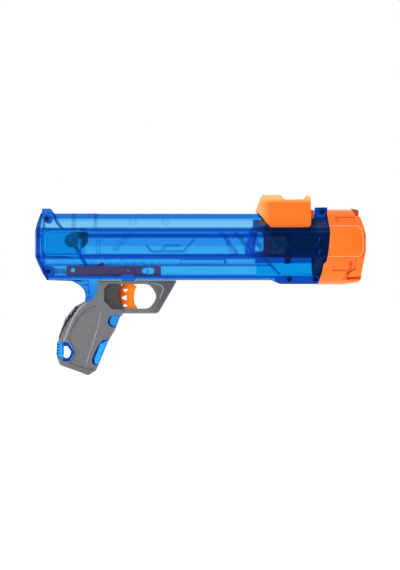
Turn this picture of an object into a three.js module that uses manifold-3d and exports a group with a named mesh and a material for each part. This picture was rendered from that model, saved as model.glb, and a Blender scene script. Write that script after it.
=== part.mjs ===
// A dog tennis ball launcher: a hand held blaster that throws one tennis ball for a dog.
// The saddle handle on top draws a pusher back against two latex bands, a sear holds it, and
// the trigger lifts the sear. The muzzle's petals pick the ball up from the ground.
// Lengths are millimetres. X runs from the rear end to the muzzle, Y to the left, Z upwards,
// and the bore's axis is the line where Y and Z are zero, until the last lines move the origin.

import * as THREE from 'three';
import { mergeVertices } from 'three/addons/utils/BufferGeometryUtils.js';
import Module from 'manifold-3d';

const wasm = await Module();
wasm.setup();

// Driving sizes of the whole launcher
const ballDiameter = 67.7;
const drawLength = 207;
const triggerTravel = 7.5;
const searLiftAngle = 0.33;

// Clearances that many pieces share
const slipGap = 0.3;
const pinGap = 0.1;
const runGap = 0.5;
const ballGap = 0.75;
const stemRoom = 0.6;
const screwRoom = 0.2;
const cutOverrun = 1;

// Steps in rounded corners and rims, and sides of round pieces
const cornerSteps = 3;
const edgeSteps = 2;
const barrelSides = 44;
const bossSides = 20;
const rodSides = 12;

// Tubes round the ball, from the inside out
const sleeveWall = 1.8;
const barrelWall = 4.3;
const sleeveInnerRadius = ballDiameter / 2 + ballGap;
const sleeveOuterRadius = sleeveInnerRadius + sleeveWall;
const boreRadius = sleeveOuterRadius + slipGap;
const barrelRadius = boreRadius + barrelWall;

// Stations along the bore, each one from the piece behind it
const rearWall = 9;
const searPivotX = 43;
const searReach = 13;
const noseRear = searPivotX + searReach;
const catchThickness = 4;
const pusherRear = noseRear - runGap - catchThickness + drawLength;
const pusherLength = 55.5;
const pusherFace = pusherRear + pusherLength;
const sleeveLead = 2;
const sleeveRear = pusherFace + sleeveLead;
const sleeveLength = 45;
const sleeveFront = sleeveRear + sleeveLength;
const sleeveStop = 5;
const barrelFront = sleeveFront + sleeveStop;
const collarLap = 19;
const muzzleRear = barrelFront - collarLap;
const muzzleLength = 58;
const overallLength = muzzleRear + muzzleLength;

const launcher = new THREE.Group();

// Outline, loft and boolean helpers

// A closed outline with rounded corners. Each corner is [u, v, radius], counterclockwise; a
// radius of zero stays a point. The outline can be drawn in by inset, or out by a negative one.
function roundedRing(corners, inset = 0) {
  const count = corners.length;
  const sides = corners.map(([u, v], i) => {
    const [nextU, nextV] = corners[(i + 1) % count];
    return new THREE.Vector2(nextU - u, nextV - v).normalize();
  });
  const drawn = corners.map(([u, v], i) => {
    const before = sides[(i + count - 1) % count];
    const after = sides[i];
    const shift = inset / (1 + before.dot(after));
    return new THREE.Vector2(u - (before.y + after.y) * shift, v + (before.x + after.x) * shift);
  });
  const points = [];
  drawn.forEach((corner, i) => {
    const radius = corners[i][2] || 0;
    if (radius === 0) {
      points.push(corner);
      return;
    }
    const before = sides[(i + count - 1) % count];
    const after = sides[i];
    const turn = Math.acos(THREE.MathUtils.clamp(before.dot(after), -1, 1));
    const convex = before.cross(after) > 0;
    const bend = convex ? Math.max(radius - inset, radius / 8) : radius + inset;
    const shortest = Math.min(
      corner.distanceTo(drawn[(i + count - 1) % count]),
      corner.distanceTo(drawn[(i + 1) % count]),
    );
    const reach = Math.min(bend * Math.tan(turn / 2), 0.47 * shortest);
    const start = corner.clone().addScaledVector(before, -reach);
    const end = corner.clone().addScaledVector(after, reach);
    const curve = new THREE.QuadraticBezierCurve(start, corner, end);
    points.push(...curve.getPoints(cornerSteps));
  });
  return points;
}

// A solid lofted across Y through outlines in X and Z that have the same number of points. Its
// ends share the triangles of the first outline that splits into the most, because an outline
// drawn in far can lose a short side.
function loftAcross(rings) {
  const count = rings[0].points.length;
  const positions = rings.flatMap(({ y, points }) => points.flatMap((p) => [p.x, y, p.y]));
  const faces = [];
  const cap = rings.map(({ points }) => THREE.ShapeUtils.triangulateShape(points, []))
    .reduce((fullest, next) => (next.length > fullest.length ? next : fullest));
  cap.forEach(([a, b, c]) => faces.push(a, b, c));
  for (let r = 0; r + 1 < rings.length; r++) {
    for (let i = 0; i < count; i++) {
      const a = r * count + i;
      const b = r * count + ((i + 1) % count);
      faces.push(a, a + count, b + count, a, b + count, b);
    }
  }
  const last = (rings.length - 1) * count;
  cap.forEach(([a, b, c]) => faces.push(last + a, last + c, last + b));
  const geometry = new THREE.BufferGeometry();
  geometry.setAttribute('position', new THREE.Float32BufferAttribute(positions, 3));
  geometry.setIndex(faces);
  return solidOf(geometry);
}

// A moulded slab: a side outline from one Y to another, its rims rounded over by edge.
function slab(corners, lowY, highY, edge = 0, grow = 0) {
  if (edge === 0) {
    const points = roundedRing(corners, -grow);
    return loftAcross([{ y: lowY, points }, { y: highY, points }]);
  }
  const rings = [];
  for (let k = 0; k <= edgeSteps; k++) {
    const angle = (k / edgeSteps) * (Math.PI / 2);
    const inset = edge * (1 - Math.sin(angle)) - grow;
    rings.push({ y: lowY + edge * (1 - Math.cos(angle)), points: roundedRing(corners, inset) });
  }
  for (let k = edgeSteps; k >= 0; k--) {
    const angle = (k / edgeSteps) * (Math.PI / 2);
    const inset = edge * (1 - Math.sin(angle)) - grow;
    rings.push({ y: highY - edge * (1 - Math.cos(angle)), points: roundedRing(corners, inset) });
  }
  return loftAcross(rings);
}

// Corners given as shares of a box, measured from its rear end and down from its top, with the
// radius as a share of the box's height.
function placed(shares, box) {
  return shares.map(([along, down, round = 0]) => [
    box.rear + along * box.length,
    box.top - down * box.height,
    round * box.height,
  ]);
}

// A closed geometry as a solid, its shared corners merged and its faces pointing out.
function solidOf(geometry) {
  const bare = geometry.clone();
  bare.deleteAttribute('normal');
  bare.deleteAttribute('uv');
  const merged = mergeVertices(bare);
  const position = merged.attributes.position;
  const index = merged.index.array;
  const corner = [new THREE.Vector3(), new THREE.Vector3(), new THREE.Vector3()];
  const kept = [];
  let volume = 0;
  for (let i = 0; i < index.length; i += 3) {
    const [a, b, c] = [index[i], index[i + 1], index[i + 2]];
    if (a === b || b === c || c === a) continue;
    kept.push(a, b, c);
    corner[0].fromBufferAttribute(position, a);
    corner[1].fromBufferAttribute(position, b);
    corner[2].fromBufferAttribute(position, c);
    volume += corner[0].dot(corner[1].cross(corner[2]));
  }
  if (volume < 0) {
    kept.reverse();
  }
  const mesh = new wasm.Mesh({
    numProp: 3,
    vertProperties: new Float32Array(position.array),
    triVerts: new Uint32Array(kept),
  });
  return new wasm.Manifold(mesh);
}

function joined(solids) {
  return solids.reduce((all, next) => all.add(next));
}

function cut(solid, tools) {
  return tools.reduce((left, tool) => left.subtract(tool), solid);
}

// A block between two corners
function block(x0, x1, y0, y1, z0, z1) {
  const geometry = new THREE.BoxGeometry(x1 - x0, y1 - y0, z1 - z0);
  geometry.translate((x0 + x1) / 2, (y0 + y1) / 2, (z0 + z1) / 2);
  return solidOf(geometry);
}

// Rods along each axis, given by their ends
function rodX(radius, x0, x1, y = 0, z = 0, sides = rodSides) {
  const geometry = new THREE.CylinderGeometry(radius, radius, x1 - x0, sides);
  geometry.rotateZ(-Math.PI / 2);
  geometry.translate((x0 + x1) / 2, y, z);
  return solidOf(geometry);
}

function rodY(radius, y0, y1, x, z, sides = rodSides) {
  const geometry = new THREE.CylinderGeometry(radius, radius, y1 - y0, sides);
  geometry.translate(x, (y0 + y1) / 2, z);
  return solidOf(geometry);
}

function rodZ(radius, z0, z1, x, y, sides = rodSides) {
  const geometry = new THREE.CylinderGeometry(radius, radius, z1 - z0, sides);
  geometry.rotateX(Math.PI / 2);
  geometry.translate(x, y, (z0 + z1) / 2);
  return solidOf(geometry);
}

// A ring or cup turned about the bore's axis from a closed profile of [x, radius]
function turned(profile, sides = barrelSides) {
  const points = [...profile, profile[0]].map(([x, radius]) => new THREE.Vector2(radius, x));
  const geometry = new THREE.LatheGeometry(points, sides);
  geometry.rotateZ(-Math.PI / 2);
  return solidOf(geometry);
}

// A cross-section in Y and Z carried along X
function beam(corners, x0, x1) {
  const shape = new THREE.Shape(roundedRing(corners));
  const geometry = new THREE.ExtrudeGeometry(shape, { depth: x1 - x0, bevelEnabled: false });
  const turn = new THREE.Matrix4().makeBasis(
    new THREE.Vector3(0, 1, 0),
    new THREE.Vector3(0, 0, 1),
    new THREE.Vector3(1, 0, 0),
  );
  geometry.applyMatrix4(turn);
  geometry.translate(x0, 0, 0);
  return solidOf(geometry);
}

// A plan outline in X and Y carried upwards
function tower(corners, z0, z1) {
  const shape = new THREE.Shape(roundedRing(corners));
  const geometry = new THREE.ExtrudeGeometry(shape, { depth: z1 - z0, bevelEnabled: false });
  geometry.translate(0, 0, z0);
  return solidOf(geometry);
}

// The same outline on the other side of the middle plane, still counterclockwise
function mirrored(corners) {
  return corners.map(([y, z, round = 0]) => [-y, z, round]).reverse();
}

function plastic(color, roughness) {
  return new THREE.MeshStandardMaterial({ color, roughness, metalness: 0 });
}

function metal(color, roughness) {
  return new THREE.MeshStandardMaterial({ color, roughness, metalness: 1 });
}

function addPart(name, solid, material) {
  const { vertProperties, triVerts } = solid.getMesh();
  const geometry = new THREE.BufferGeometry();
  geometry.setAttribute('position', new THREE.BufferAttribute(vertProperties, 3));
  geometry.setIndex(new THREE.BufferAttribute(triVerts, 1));
  const faceted = geometry.toNonIndexed();
  faceted.computeVertexNormals();
  const mesh = new THREE.Mesh(faceted, material);
  mesh.name = name;
  launcher.add(mesh);
  return mesh;
}

// A block between two stations that stands on a radius, turned about the bore's axis
function standing(x0, x1, width, inner, outer, angle) {
  const geometry = new THREE.BoxGeometry(x1 - x0, width, outer - inner);
  geometry.translate((x0 + x1) / 2, 0, (inner + outer) / 2);
  geometry.rotateX(angle);
  return solidOf(geometry);
}

// The outline of a narrow rib that follows a line of points, its ends square
function ribOutline(points, width) {
  const spots = points.map(([x, z]) => new THREE.Vector2(x, z));
  const edge = (side) => spots.map((spot, i) => {
    const ahead = spots[Math.min(i + 1, spots.length - 1)];
    const behind = spots[Math.max(i - 1, 0)];
    const along = ahead.clone().sub(behind).normalize();
    const shift = (side * width) / 2;
    return [spot.x - along.y * shift, spot.y + along.x * shift, 0];
  });
  return [...edge(-1), ...edge(1).reverse()];
}

const bluePlastic = () => plastic(0x2f8fe6, 0.25);
const orangePlastic = () => plastic(0xff7a2e, 0.4);
const greyPlastic = () => plastic(0x6e6e70, 0.6);
const cyanPlastic = () => plastic(0x0096e6, 0.3);
const plumPlastic = () => plastic(0x3c1a36, 0.45);
const redPlastic = () => plastic(0xb8321c, 0.45);
const darkPlastic = () => plastic(0x173a38, 0.4);
const triggerPlastic = () => plastic(0xff6a14, 0.35);
const blackRubber = () => plastic(0x222428, 0.8);
const steel = () => metal(0xb9bdc2, 0.3);
const blackSteel = () => metal(0x3c3f44, 0.45);

// Sizes of the housing's rear end and of the badge's place on its sides

const rearFlatTop = 18.2;
const rearFlatBottom = 12.6;
const rearTopLean = 6;
const rearBottomLean = 12.8;
const rearHalfWidth = 29;
const rearSideLean = 12;

const badgeRear = 5.6;
const badgeFront = 56.7;
const badgeTop = 22.3;
const badgeBottom = -13;
const badgeCorner = 10;
const badgeEdge = 1.6;
const badgeInset = 1;
const badgePlateThickness = 1.4;
const badgeRim = 1.8;

const bandProud = 1.6;
const bandReach = 31;
const finRear = 7;
const finTopFront = 17.7;
const finFoot = 21.1;
const finRise = 6;
const finTop = barrelRadius + finRise;
const finHalfWidth = 8;

// Sizes of the cheeks, with their rails, ribs and the channels behind them

const cheekRear = badgeFront;
const cheekSetback = 1;
const cheekFront = sleeveFront - cheekSetback;
const cheekTop = 22.8;
const cheekBottom = 13.5;
const cheekWall = 2.9;
const railProud = 1;
const upperRailHeight = 5.4;
const lowerRailHeight = 3.3;

const channelDepth = 5.9;
const channelOverlap = 7.3;
const channelCentre = 0.8;
const channelHalfHeight = 11;
const channelOuter = boreRadius + channelDepth;
const cheekOuter = channelOuter + cheekWall;
const badgeHalfWidth = cheekOuter - badgeInset;

const ribWidth = 1.2;
const ribProud = 0.6;
const cheekPanel = {
  rear: cheekRear,
  top: cheekTop - upperRailHeight,
  length: cheekFront - cheekRear,
  height: cheekTop - upperRailHeight + cheekBottom - lowerRailHeight,
};
const ribLineShares = [
  [[0.573, -0.02], [0.639, 1.02]], [[0.634, -0.02], [0.695, 1.02]],
  [[0.688, -0.02], [0.744, 1.02]], [[0.747, -0.02], [0.812, 1.02]],
  [[0.8, -0.02], [0.863, 1.02]],
  [[0.262, 0.576], [0.284, 0.859], [0.32, 0.859], [0.342, 0.576], [0.399, 0.576]],
  [[0.33, 0.859], [0.414, 0.841], [0.46, 0.257]],
];
const slatShares = [
  [[0.604, 0.478, 0], [0.588, 0.478, 0], [0.612, 0.964, 0], [0.632, 0.964, 0]],
  [[0.67, 0.478, 0], [0.657, 0.478, 0], [0.672, 0.964, 0], [0.688, 0.964, 0]],
  [[0.205, -0.02, 0], [0.184, -0.02, 0], [0.13, 0.764, 0], [0.144, 0.764, 0]],
];

// Hoops over the barrel's top, and the raised marks low on its flanks
const hoopPlaces = [45.3, 72.2];
const hoopProud = 0.5;
const flankProud = 0.8;
const flankBox = {
  rear: badgeFront,
  top: -cheekBottom,
  length: cheekFront - badgeFront,
  height: cheekBottom,
};
const flankShares = [
  [[0.586, 0.19, 0], [0.402, 0.19, 0], [0.402, 0.61, 0], [0.586, 0.61, 0]],
  [[0.752, 0.1, 0], [0.745, 0.1, 0], [0.8, 1.6, 0], [0.807, 1.6, 0]],
];

// Sizes of the floor, the keel under the barrel, the front flange and the post above it

const underfloor = 14.7;
const floorThickness = 1.6;
const floorDepth = boreRadius - underfloor;
const floorBottom = floorDepth + floorThickness;
const floorReach = 31.5;
const floorFront = pusherRear + floorReach;

const keelDepth = 0.5;
const keelRear = 13;
const keelHalfWidth = 12;
const keelBottom = -barrelRadius - keelDepth;

const postSetback = 2.3;
const postLength = 15.7;
const postRise = 7.5;
const postRear = muzzleRear - postSetback;
const postFront = postRear + postLength;
const postTop = barrelRadius + postRise;
const postHalfWidth = 9;

const flangeSetback = 32.3;
const flangeLead = 2.5;
const flangeDrop = 5.3;
const flangeStep = 11;
const flangeRear = pusherRear + flangeSetback;
const flangeFront = muzzleRear + flangeLead;
const flangeBottom = -barrelRadius - flangeDrop;
const flangeHalfWidth = 13;

const padSetback = 7.5;
const padRise = 1.4;
const padOverlap = 7.4;
const padHalfWidth = 23;
const padBox = {
  rear: flangeRear + padSetback,
  top: padOverlap - barrelRadius,
  length: flangeFront - flangeRear - padSetback,
  height: padOverlap + flangeDrop - padRise,
};
const padShares = [[0.22, 0, 0], [0, 1, 0.1], [1, 1, 0.1], [1, 0.1, 0]];

// The muzzle collar's outline and rings, which the housing stops short of

const collarWall = 5.7;
const collarRadius = barrelRadius + slipGap + collarWall;
const muzzleMargin = 0.65;
const muzzleBox = {
  rear: muzzleRear,
  top: collarRadius + muzzleMargin,
  length: muzzleLength,
  height: 2 * (collarRadius + muzzleMargin),
};
const muzzleShares = [
  [0.234, -0.02, 0], [0.209, 0.083, 0.02], [0.253, 0.331, 0.1], [0.221, 0.545, 0.1],
  [0.179, 0.695, 0.04], [0.117, 0.733, 0.03], [0.093, 0.837, 0.03], [0, 1.02, 0],
  [0.3, 1.02, 0], [0.87, 0.96, 0.02], [0.93, 0.92, 0.02], [0.92, 0.85, 0.03],
  [0.959, 0.708, 0.06], [1, 0.561, 0.05], [1, 0.366, 0.05], [0.969, 0.262, 0.06],
  [0.897, 0.12, 0.02], [0.81, 0.112, 0.02], [0.7, -0.02, 0],
];

// Sizes of the grip. Its outline is held in shares of the box from its heel to the guard's tip.

const coverGap = 0.33;
const gripBox = { rear: 24.8, top: keelBottom - coverGap, length: 149.4, height: 117.2 };
const gripHalfWidth = 16;
const gripEdge = 6;
const coverWall = 3.2;
const coreHalfWidth = gripHalfWidth - coverWall - slipGap;
const guardHalfWidth = 11;
const guardEdge = 3.2;
const beavertailHalfWidth = 12;
const loopHalfWidth = 7;
const tailEdge = 4;

const gripShares = [
  [0.334, 0, 0], [0.336, 0.097, 0.03], [0.298, 0.192, 0.05], [0.237, 0.222, 0.05],
  [0.153, 0.277, 0.04], [0.074, 0.404, 0.06], [0.024, 0.584, 0.08], [-0.002, 0.785, 0.06],
  [0.03, 0.895, 0.03], [0.264, 1, 0.02], [0.326, 0.956, 0.03], [0.345, 0.9, 0.04],
  [0.429, 0.64, 0.05], [0.482, 0.531, 0.04], [0.52, 0.394, 0.04], [0.57, 0.33, 0.05],
  [0.5, 0.18, 0.04], [0.5, 0, 0],
];
const guardShares = [
  [0.38, 0, 0], [0.38, 0.3, 0.04], [0.47, 0.349, 0.04], [0.842, 0.349, 0.05],
  [0.9, 0.222, 0.2], [1, 0, 0.015],
];
const fingerSlotShares = [
  [0.402, 0.087, 0.02], [0.402, 0.213, 0.02], [0.468, 0.3, 0.03], [0.771, 0.3, 0.1],
  [0.842, 0.169, 0.1], [0.771, 0.039, 0.1], [0.435, 0.039, 0.02],
];
const pocketShares = [
  [0.54, 0.02, 0], [0.397, 0.02, 0], [0.397, 0.215, 0], [0.462, 0.315, 0], [0.566, 0.315, 0],
  [0.55, 0.27, 0], [0.505, 0.181, 0.15], [0.53, 0.07, 0],
];
const upperWindowShares = [
  [0.459, 0.366, 0.03], [0.43, 0.404, 0.03], [0.424, 0.441, 0.02], [0.441, 0.483, 0.03],
  [0.51, 0.515, 0], [0.62, 0.515, 0], [0.62, 0.366, 0],
];
const lowerWindowShares = [
  [0.429, 0.609, 0.02], [0.385, 0.631, 0.03], [0.352, 0.674, 0.04], [0.319, 0.753, 0.04],
  [0.293, 0.838, 0.03], [0.302, 0.88, 0.02], [0.326, 0.9, 0], [0.45, 0.9, 0], [0.52, 0.609, 0],
];
const beavertailShares = [
  [0.074, -0.02, 0], [0.147, 0.018, 0.04], [0.19, 0.049, 0.04], [0.228, 0.097, 0.04],
  [0.242, 0.15, 0.04], [0.238, 0.222, 0], [0.298, 0.192, 0.05], [0.336, 0.097, 0.03],
  [0.334, -0.02, 0],
];
const coreShares = [
  [0.26, -0.02, 0], [0.27, 0.17, 0.03], [0.18, 0.305, 0.04], [0.104, 0.42, 0.05],
  [0.055, 0.584, 0.04], [0.045, 0.66, 0], [0.06, 0.83, 0.02], [0.15, 0.855, 0.02],
  [0.285, 0.895, 0.02], [0.31, 0.86, 0.02], [0.395, 0.62, 0.03], [0.452, 0.52, 0.03],
  [0.485, 0.4, 0.03], [0.42, 0.34, 0.04], [0.37, 0.24, 0.04], [0.355, -0.02, 0],
];
const loopShares = [
  [0.003, 0.647, 0.02], [-0.002, 0.795, 0.02], [0.066, 0.854, 0.02], [0.116, 0.848, 0.02],
  [0.153, 0.758, 0.01], [0.103, 0.654, 0.02],
];
const loopHoleShares = [
  [0.056, 0.698, 0.01], [0.056, 0.811, 0.01], [0.078, 0.825, 0.01], [0.108, 0.806, 0.01],
  [0.124, 0.753, 0.01], [0.091, 0.692, 0.01],
];
const buttLineShares = [
  [-0.1, 0.862, 0], [-0.1, 1.1, 0], [0.5, 1.1, 0], [0.5, 0.963, 0], [0.333, 0.94, 0.02],
  [0.258, 0.921, 0.02], [0.113, 0.885, 0.02],
];
const sidePanelShares = [
  [0.197, 0.364, 0.05], [0.139, 0.515, 0.05], [0.109, 0.633, 0], [0.159, 0.752, 0],
  [0.139, 0.845, 0], [0.206, 0.881, 0], [0.405, 0.331, 0.03], [0.342, 0.266, 0.03],
];
const gripSlitShares = [
  [[0.174, 0.282], [0.156, 0.329]], [[0.144, 0.329], [0.1285, 0.384]],
  [[0.1165, 0.372], [0.101, 0.422]], [[0.089, 0.426], [0.0736, 0.48]],
  [[0.0616, 0.495], [0.043, 0.547]], [[0.0375, 0.561], [0.025, 0.6]],
];
const tailGrooveShares = [[[0.15, 0.03], [0.36, 0.072]], [[0.2, 0.12], [0.36, 0.14]]];
const gripScrewShares = [[0.296, 0.428], [0.2, 0.79]];

const beavertail = placed(beavertailShares, gripBox);
const core = placed(coreShares, gripBox);
const fingerSlot = placed(fingerSlotShares, gripBox);
const upperWindow = placed(upperWindowShares, gripBox);
const lowerWindow = placed(lowerWindowShares, gripBox);
const loopOutline = placed(loopShares, gripBox);
const buttLine = placed(buttLineShares, gripBox);
const gripScrews = placed(gripScrewShares, gripBox);
const gripSolid = slab(placed(gripShares, gripBox), -gripHalfWidth, gripHalfWidth, gripEdge);

// Sizes of the moving train inside, which the housing leaves room for

const searPivotZ = 7.4;
const searPinRadius = 2;
const searPinReach = 10;
const searSpringRoom = 5.5;
const searHubRadius = 8.6;
const searHalfWidth = 5;
const legInner = 13;
const legOuter = 17;
const footRadius = 2.2;
const footForward = 19;
const footRise = 3.2;
const footDrop = searPivotZ + floorDepth + footRise;
const footSlotBehind = 10;
const footSlotAhead = 26;
const pivotBossRadius = 6;
const pivotBossGap = 1;

const stemRearShare = 0.5435;
const stemLengthShare = 0.1004;
const stemRear = gripBox.rear + stemRearShare * gripBox.length;
const stemFront = stemRear + stemLengthShare * gripBox.length;
const stemHalfWidth = 5.4;

const barSetback = 6;
const barLead = 33;
const barTop = -floorBottom - runGap;
const barBottom = -boreRadius + runGap;
const barHalfWidth = 2.2;
const barRear = searPivotX - barSetback;
const barFront = stemFront + barLead;
const guideSetback = 19.8;
const guidePostRadius = 3.8;
const guidePostX = barFront - guideSetback;
const guidePostZ = (barTop + barBottom) / 2;

const earSetback = 26.5;
const earLength = 15;
const earRun = 2;
const earRear = pusherRear + earSetback;
const earFront = earRear + earLength;
const earHalfHeight = channelHalfHeight - 2 * slipGap;
const bumperLength = 6;

const bandPinRadius = 1.5;
const bandStandoff = 1.9;
const bandOffset = boreRadius + bandStandoff;
const bandPinX = (earRear + earFront) / 2;
const anchorLead = 2;
const anchorX = muzzleRear + anchorLead;
const anchorPinHalfLength = 10;
const strapHalfHeight = 5;
const strapThickness = 2.4;
const strapRoom = 1.4;
const eyeRadius = 3.3;

const carriageDrop = 3.3;
const carriageThickness = 6;
const carriageSetback = 17.5;
const carriageTop = boreRadius - carriageDrop;
const carriageBottom = carriageTop - carriageThickness;
const carriageRear = pusherRear + carriageSetback;
const carriageFront = sleeveRear - 2 * slipGap;
const carriageHalfWidth = 12;
const neckSetback = 9;
const neckMargin = 3.4;
const neckRear = carriageRear + neckSetback;
const neckFront = carriageFront - neckMargin;
const neckHalfWidth = 5.7;
const slotHalfWidth = neckHalfWidth + 2 * slipGap;

// The screws that hold the two shells together: place, boss radius, the face they enter by and
// how deep their heads are sunk below it
const bossProud = 0.6;
const rearTopScrewDrop = 6.8;
const rearBottomScrewRise = 10.2;
const frontScrewRise = 5.9;
const rearFlangeScrewLead = 21.6;
const frontFlangeScrewSetback = 5;
const postScrewLead = 8.8;
const postScrewDrop = 4.9;
const shellScrews = [
  {
    name: 'shell_screw_rear_top', x: 13.4, z: barrelRadius - rearTopScrewDrop,
    boss: 5.2, face: 24, sink: 8,
  },
  {
    name: 'shell_screw_rear_bottom', x: 15.4, z: rearBottomScrewRise - barrelRadius,
    boss: 6.7, face: 30, sink: 8,
  },
  {
    name: 'shell_screw_front_rear', x: flangeRear + rearFlangeScrewLead,
    z: flangeBottom + frontScrewRise, boss: 4.2, face: padHalfWidth + bossProud, sink: 8,
  },
  {
    name: 'shell_screw_front_mid', x: flangeFront - frontFlangeScrewSetback,
    z: flangeBottom + frontScrewRise, boss: 4.2, face: padHalfWidth + bossProud, sink: 8,
  },
  {
    name: 'shell_screw_front_top', x: postRear + postScrewLead,
    z: postTop - postScrewDrop, boss: 4.2, face: postHalfWidth + bossProud, sink: 2,
  },
];
const screwShankRadius = 1.4;
const screwHeadRadius = 2.9;
const screwHeadHeight = 2.2;
const screwBite = 8;

// The housing: barrel, cheeks, rear end, floor, keel, grip core and loop, still in one piece

function rearMasks(high, farFront) {
  const rise = high - rearFlatTop;
  const fall = high - rearFlatBottom;
  const topLean = (rearTopLean * rise) / (barrelRadius - rearFlatTop);
  const bottomLean = (rearBottomLean * fall) / (barrelRadius - rearFlatBottom);
  const sideMask = slab([
    [topLean, high, 0], [0, rearFlatTop, rearTopLean], [0, -rearFlatBottom, rearTopLean],
    [bottomLean, -high, 0], [farFront, -high, 0], [farFront, high, 0],
  ], -high, high);
  const sideRise = cheekOuter - rearHalfWidth;
  const planMask = tower([
    [rearSideLean, cheekOuter, rearSideLean], [0, rearHalfWidth, sideRise / 2],
    [0, -rearHalfWidth, sideRise / 2], [rearSideLean, -cheekOuter, rearSideLean],
    [farFront, -high, 0], [farFront, high, 0],
  ], -high, high);
  return sideMask.intersect(planMask);
}

function sideCheeks() {
  const railTop = cheekOuter + railProud;
  const cheek = [
    [0, -cheekBottom, 0], [railTop - railProud / 2, -cheekBottom, 0],
    [railTop, -cheekBottom + railProud / 2, 0], [railTop, -cheekBottom + lowerRailHeight - railProud, 0],
    [cheekOuter, -cheekBottom + lowerRailHeight, 0], [cheekOuter, cheekTop - upperRailHeight, 0],
    [railTop, cheekTop - upperRailHeight + railProud, 0], [railTop, cheekTop - railProud, 0],
    [railTop - railProud, cheekTop, 0], [0, cheekTop, 0],
  ];
  return [cheek, mirrored(cheek)].map((side) => beam(side, cheekRear, cheekFront));
}

function raisedMarks(high, farFront) {
  const ribFace = cheekOuter + ribProud;
  const ribs = ribLineShares.map((line) => ribOutline(placed(line, cheekPanel), ribWidth));
  const slats = slatShares.map((shares) => placed(shares, cheekPanel));
  const cheekMarks = [...ribs, ...slats].map((outline) => slab(outline, -ribFace, ribFace));
  const above = block(0, farFront, -high, high, cheekTop, high);
  const hoops = hoopPlaces.map((x) => (
    rodX(barrelRadius + hoopProud, x, x + ribWidth, 0, 0, barrelSides).intersect(above)
  ));
  const flankTube = rodX(barrelRadius + flankProud, 0, barrelFront, 0, 0, barrelSides);
  const flankMarks = flankShares.map((shares) => (
    slab(placed(shares, flankBox), -high, high).intersect(flankTube)
  ));
  return [...cheekMarks, ...hoops, ...flankMarks];
}

// The rear end's raised band slopes down to the badge, and its fin stands on top.
function rearBand(high) {
  const outline = [
    [-cutOverrun, badgeTop, 0], [bandReach, badgeTop, 0], [finFoot, barrelRadius, 0],
    [finFoot, finTop, 0], [-cutOverrun, finTop, 0],
  ];
  return rodX(barrelRadius + bandProud, 0, bandReach, 0, 0, barrelSides)
    .intersect(slab(outline, -high, high));
}

function rearFin() {
  return slab([
    [finRear, finTop, bandProud], [finRear, 0, 0], [finFoot, 0, 0], [finFoot, barrelRadius, 0],
    [finTopFront, finTop, bandProud],
  ], -finHalfWidth, finHalfWidth, bandProud);
}

function housingOutside() {
  const farFront = overallLength + cutOverrun;
  const high = 2 * barrelRadius;
  const barrel = rodX(barrelRadius, 0, barrelFront, 0, 0, barrelSides);
  const badgePad = slab([
    [badgeRear, badgeTop, badgeCorner], [badgeRear, badgeBottom, badgeCorner],
    [badgeFront, badgeBottom, 0], [badgeFront, badgeTop, 0],
  ], -badgeHalfWidth, badgeHalfWidth, badgeEdge);
  const keel = block(keelRear, postFront, -keelHalfWidth, keelHalfWidth, keelBottom, -boreRadius);
  const flange = slab([
    [flangeRear, -boreRadius, 0], [flangeRear, keelBottom, 0],
    [flangeRear + flangeStep, flangeBottom, flangeStep / 4], [flangeFront, flangeBottom, bandProud],
    [flangeFront, -boreRadius, 0],
  ], -flangeHalfWidth, flangeHalfWidth, bandProud);
  const pad = slab(placed(padShares, padBox), -padHalfWidth, padHalfWidth);
  const post = slab([
    [postRear, postTop, bandProud], [postRear, boreRadius, 0], [postFront, boreRadius, 0],
    [postFront, postTop, bandProud],
  ], -postHalfWidth, postHalfWidth, bandProud);
  const bosses = shellScrews.map(({ x, z, boss, face }) => rodY(boss, -face, face, x, z, bossSides));
  const collarRoom = slab(placed(muzzleShares, muzzleBox), -high, high, 0, slipGap)
    .subtract(rodX(barrelRadius + pinGap, 0, farFront, 0, 0, barrelSides));
  return joined([barrel, rearBand(high), badgePad, ...sideCheeks(), ...raisedMarks(high, farFront)])
    .intersect(rearMasks(high, farFront))
    .add(joined([rearFin(), keel, flange, pad, post, ...bosses]))
    .subtract(collarRoom);
}

function housingInside() {
  const high = 2 * barrelRadius;
  const farFront = overallLength + cutOverrun;
  const floor = block(0, floorFront, -high, high, -floorBottom, -floorDepth);
  const bore = rodX(boreRadius, rearWall, farFront, 0, 0, barrelSides).subtract(floor);

  // The pusher's ears and the bands run in a channel behind each cheek. Ahead of the bumpers it
  // narrows to the strap's height.
  const channelRear = earRear - drawLength - earRun;
  const wideFront = earFront + slipGap + bumperLength + slipGap;
  const strapFront = anchorX + 2 * bandStandoff + 2 * strapRoom;
  const narrow = strapHalfHeight + strapRoom;
  const inner = boreRadius - channelOverlap;
  const channels = [-1, 1].flatMap((side) => {
    const [y0, y1] = side < 0 ? [-channelOuter, -inner] : [inner, channelOuter];
    const [low, top] = [channelCentre - channelHalfHeight, channelCentre + channelHalfHeight];
    return [
      block(channelRear, wideFront, y0, y1, low, top),
      block(channelRear, strapFront, y0, y1, channelCentre - narrow, channelCentre + narrow),
    ];
  });

  // The handle's neck runs in the slot along the top.
  const slotRear = neckRear - drawLength - earRun;
  const topSlot = block(slotRear, postRear, -slotHalfWidth, slotHalfWidth, barrelRadius / 2, high);

  const stemSlot = block(
    stemRear - triggerTravel - stemRoom, stemFront + stemRoom, -stemHalfWidth - stemRoom,
    stemHalfWidth + stemRoom, keelBottom - cutOverrun, -floorBottom,
  );
  const footX = searPivotX + footForward;
  const footSlot = block(
    footX - footSlotBehind, footX + footSlotAhead, legInner - 2 * stemRoom, legOuter + 2 * stemRoom,
    -floorBottom - cutOverrun, -floorDepth + cutOverrun,
  );
  return [bore, ...channels, topSlot, stemSlot, footSlot];
}

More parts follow.
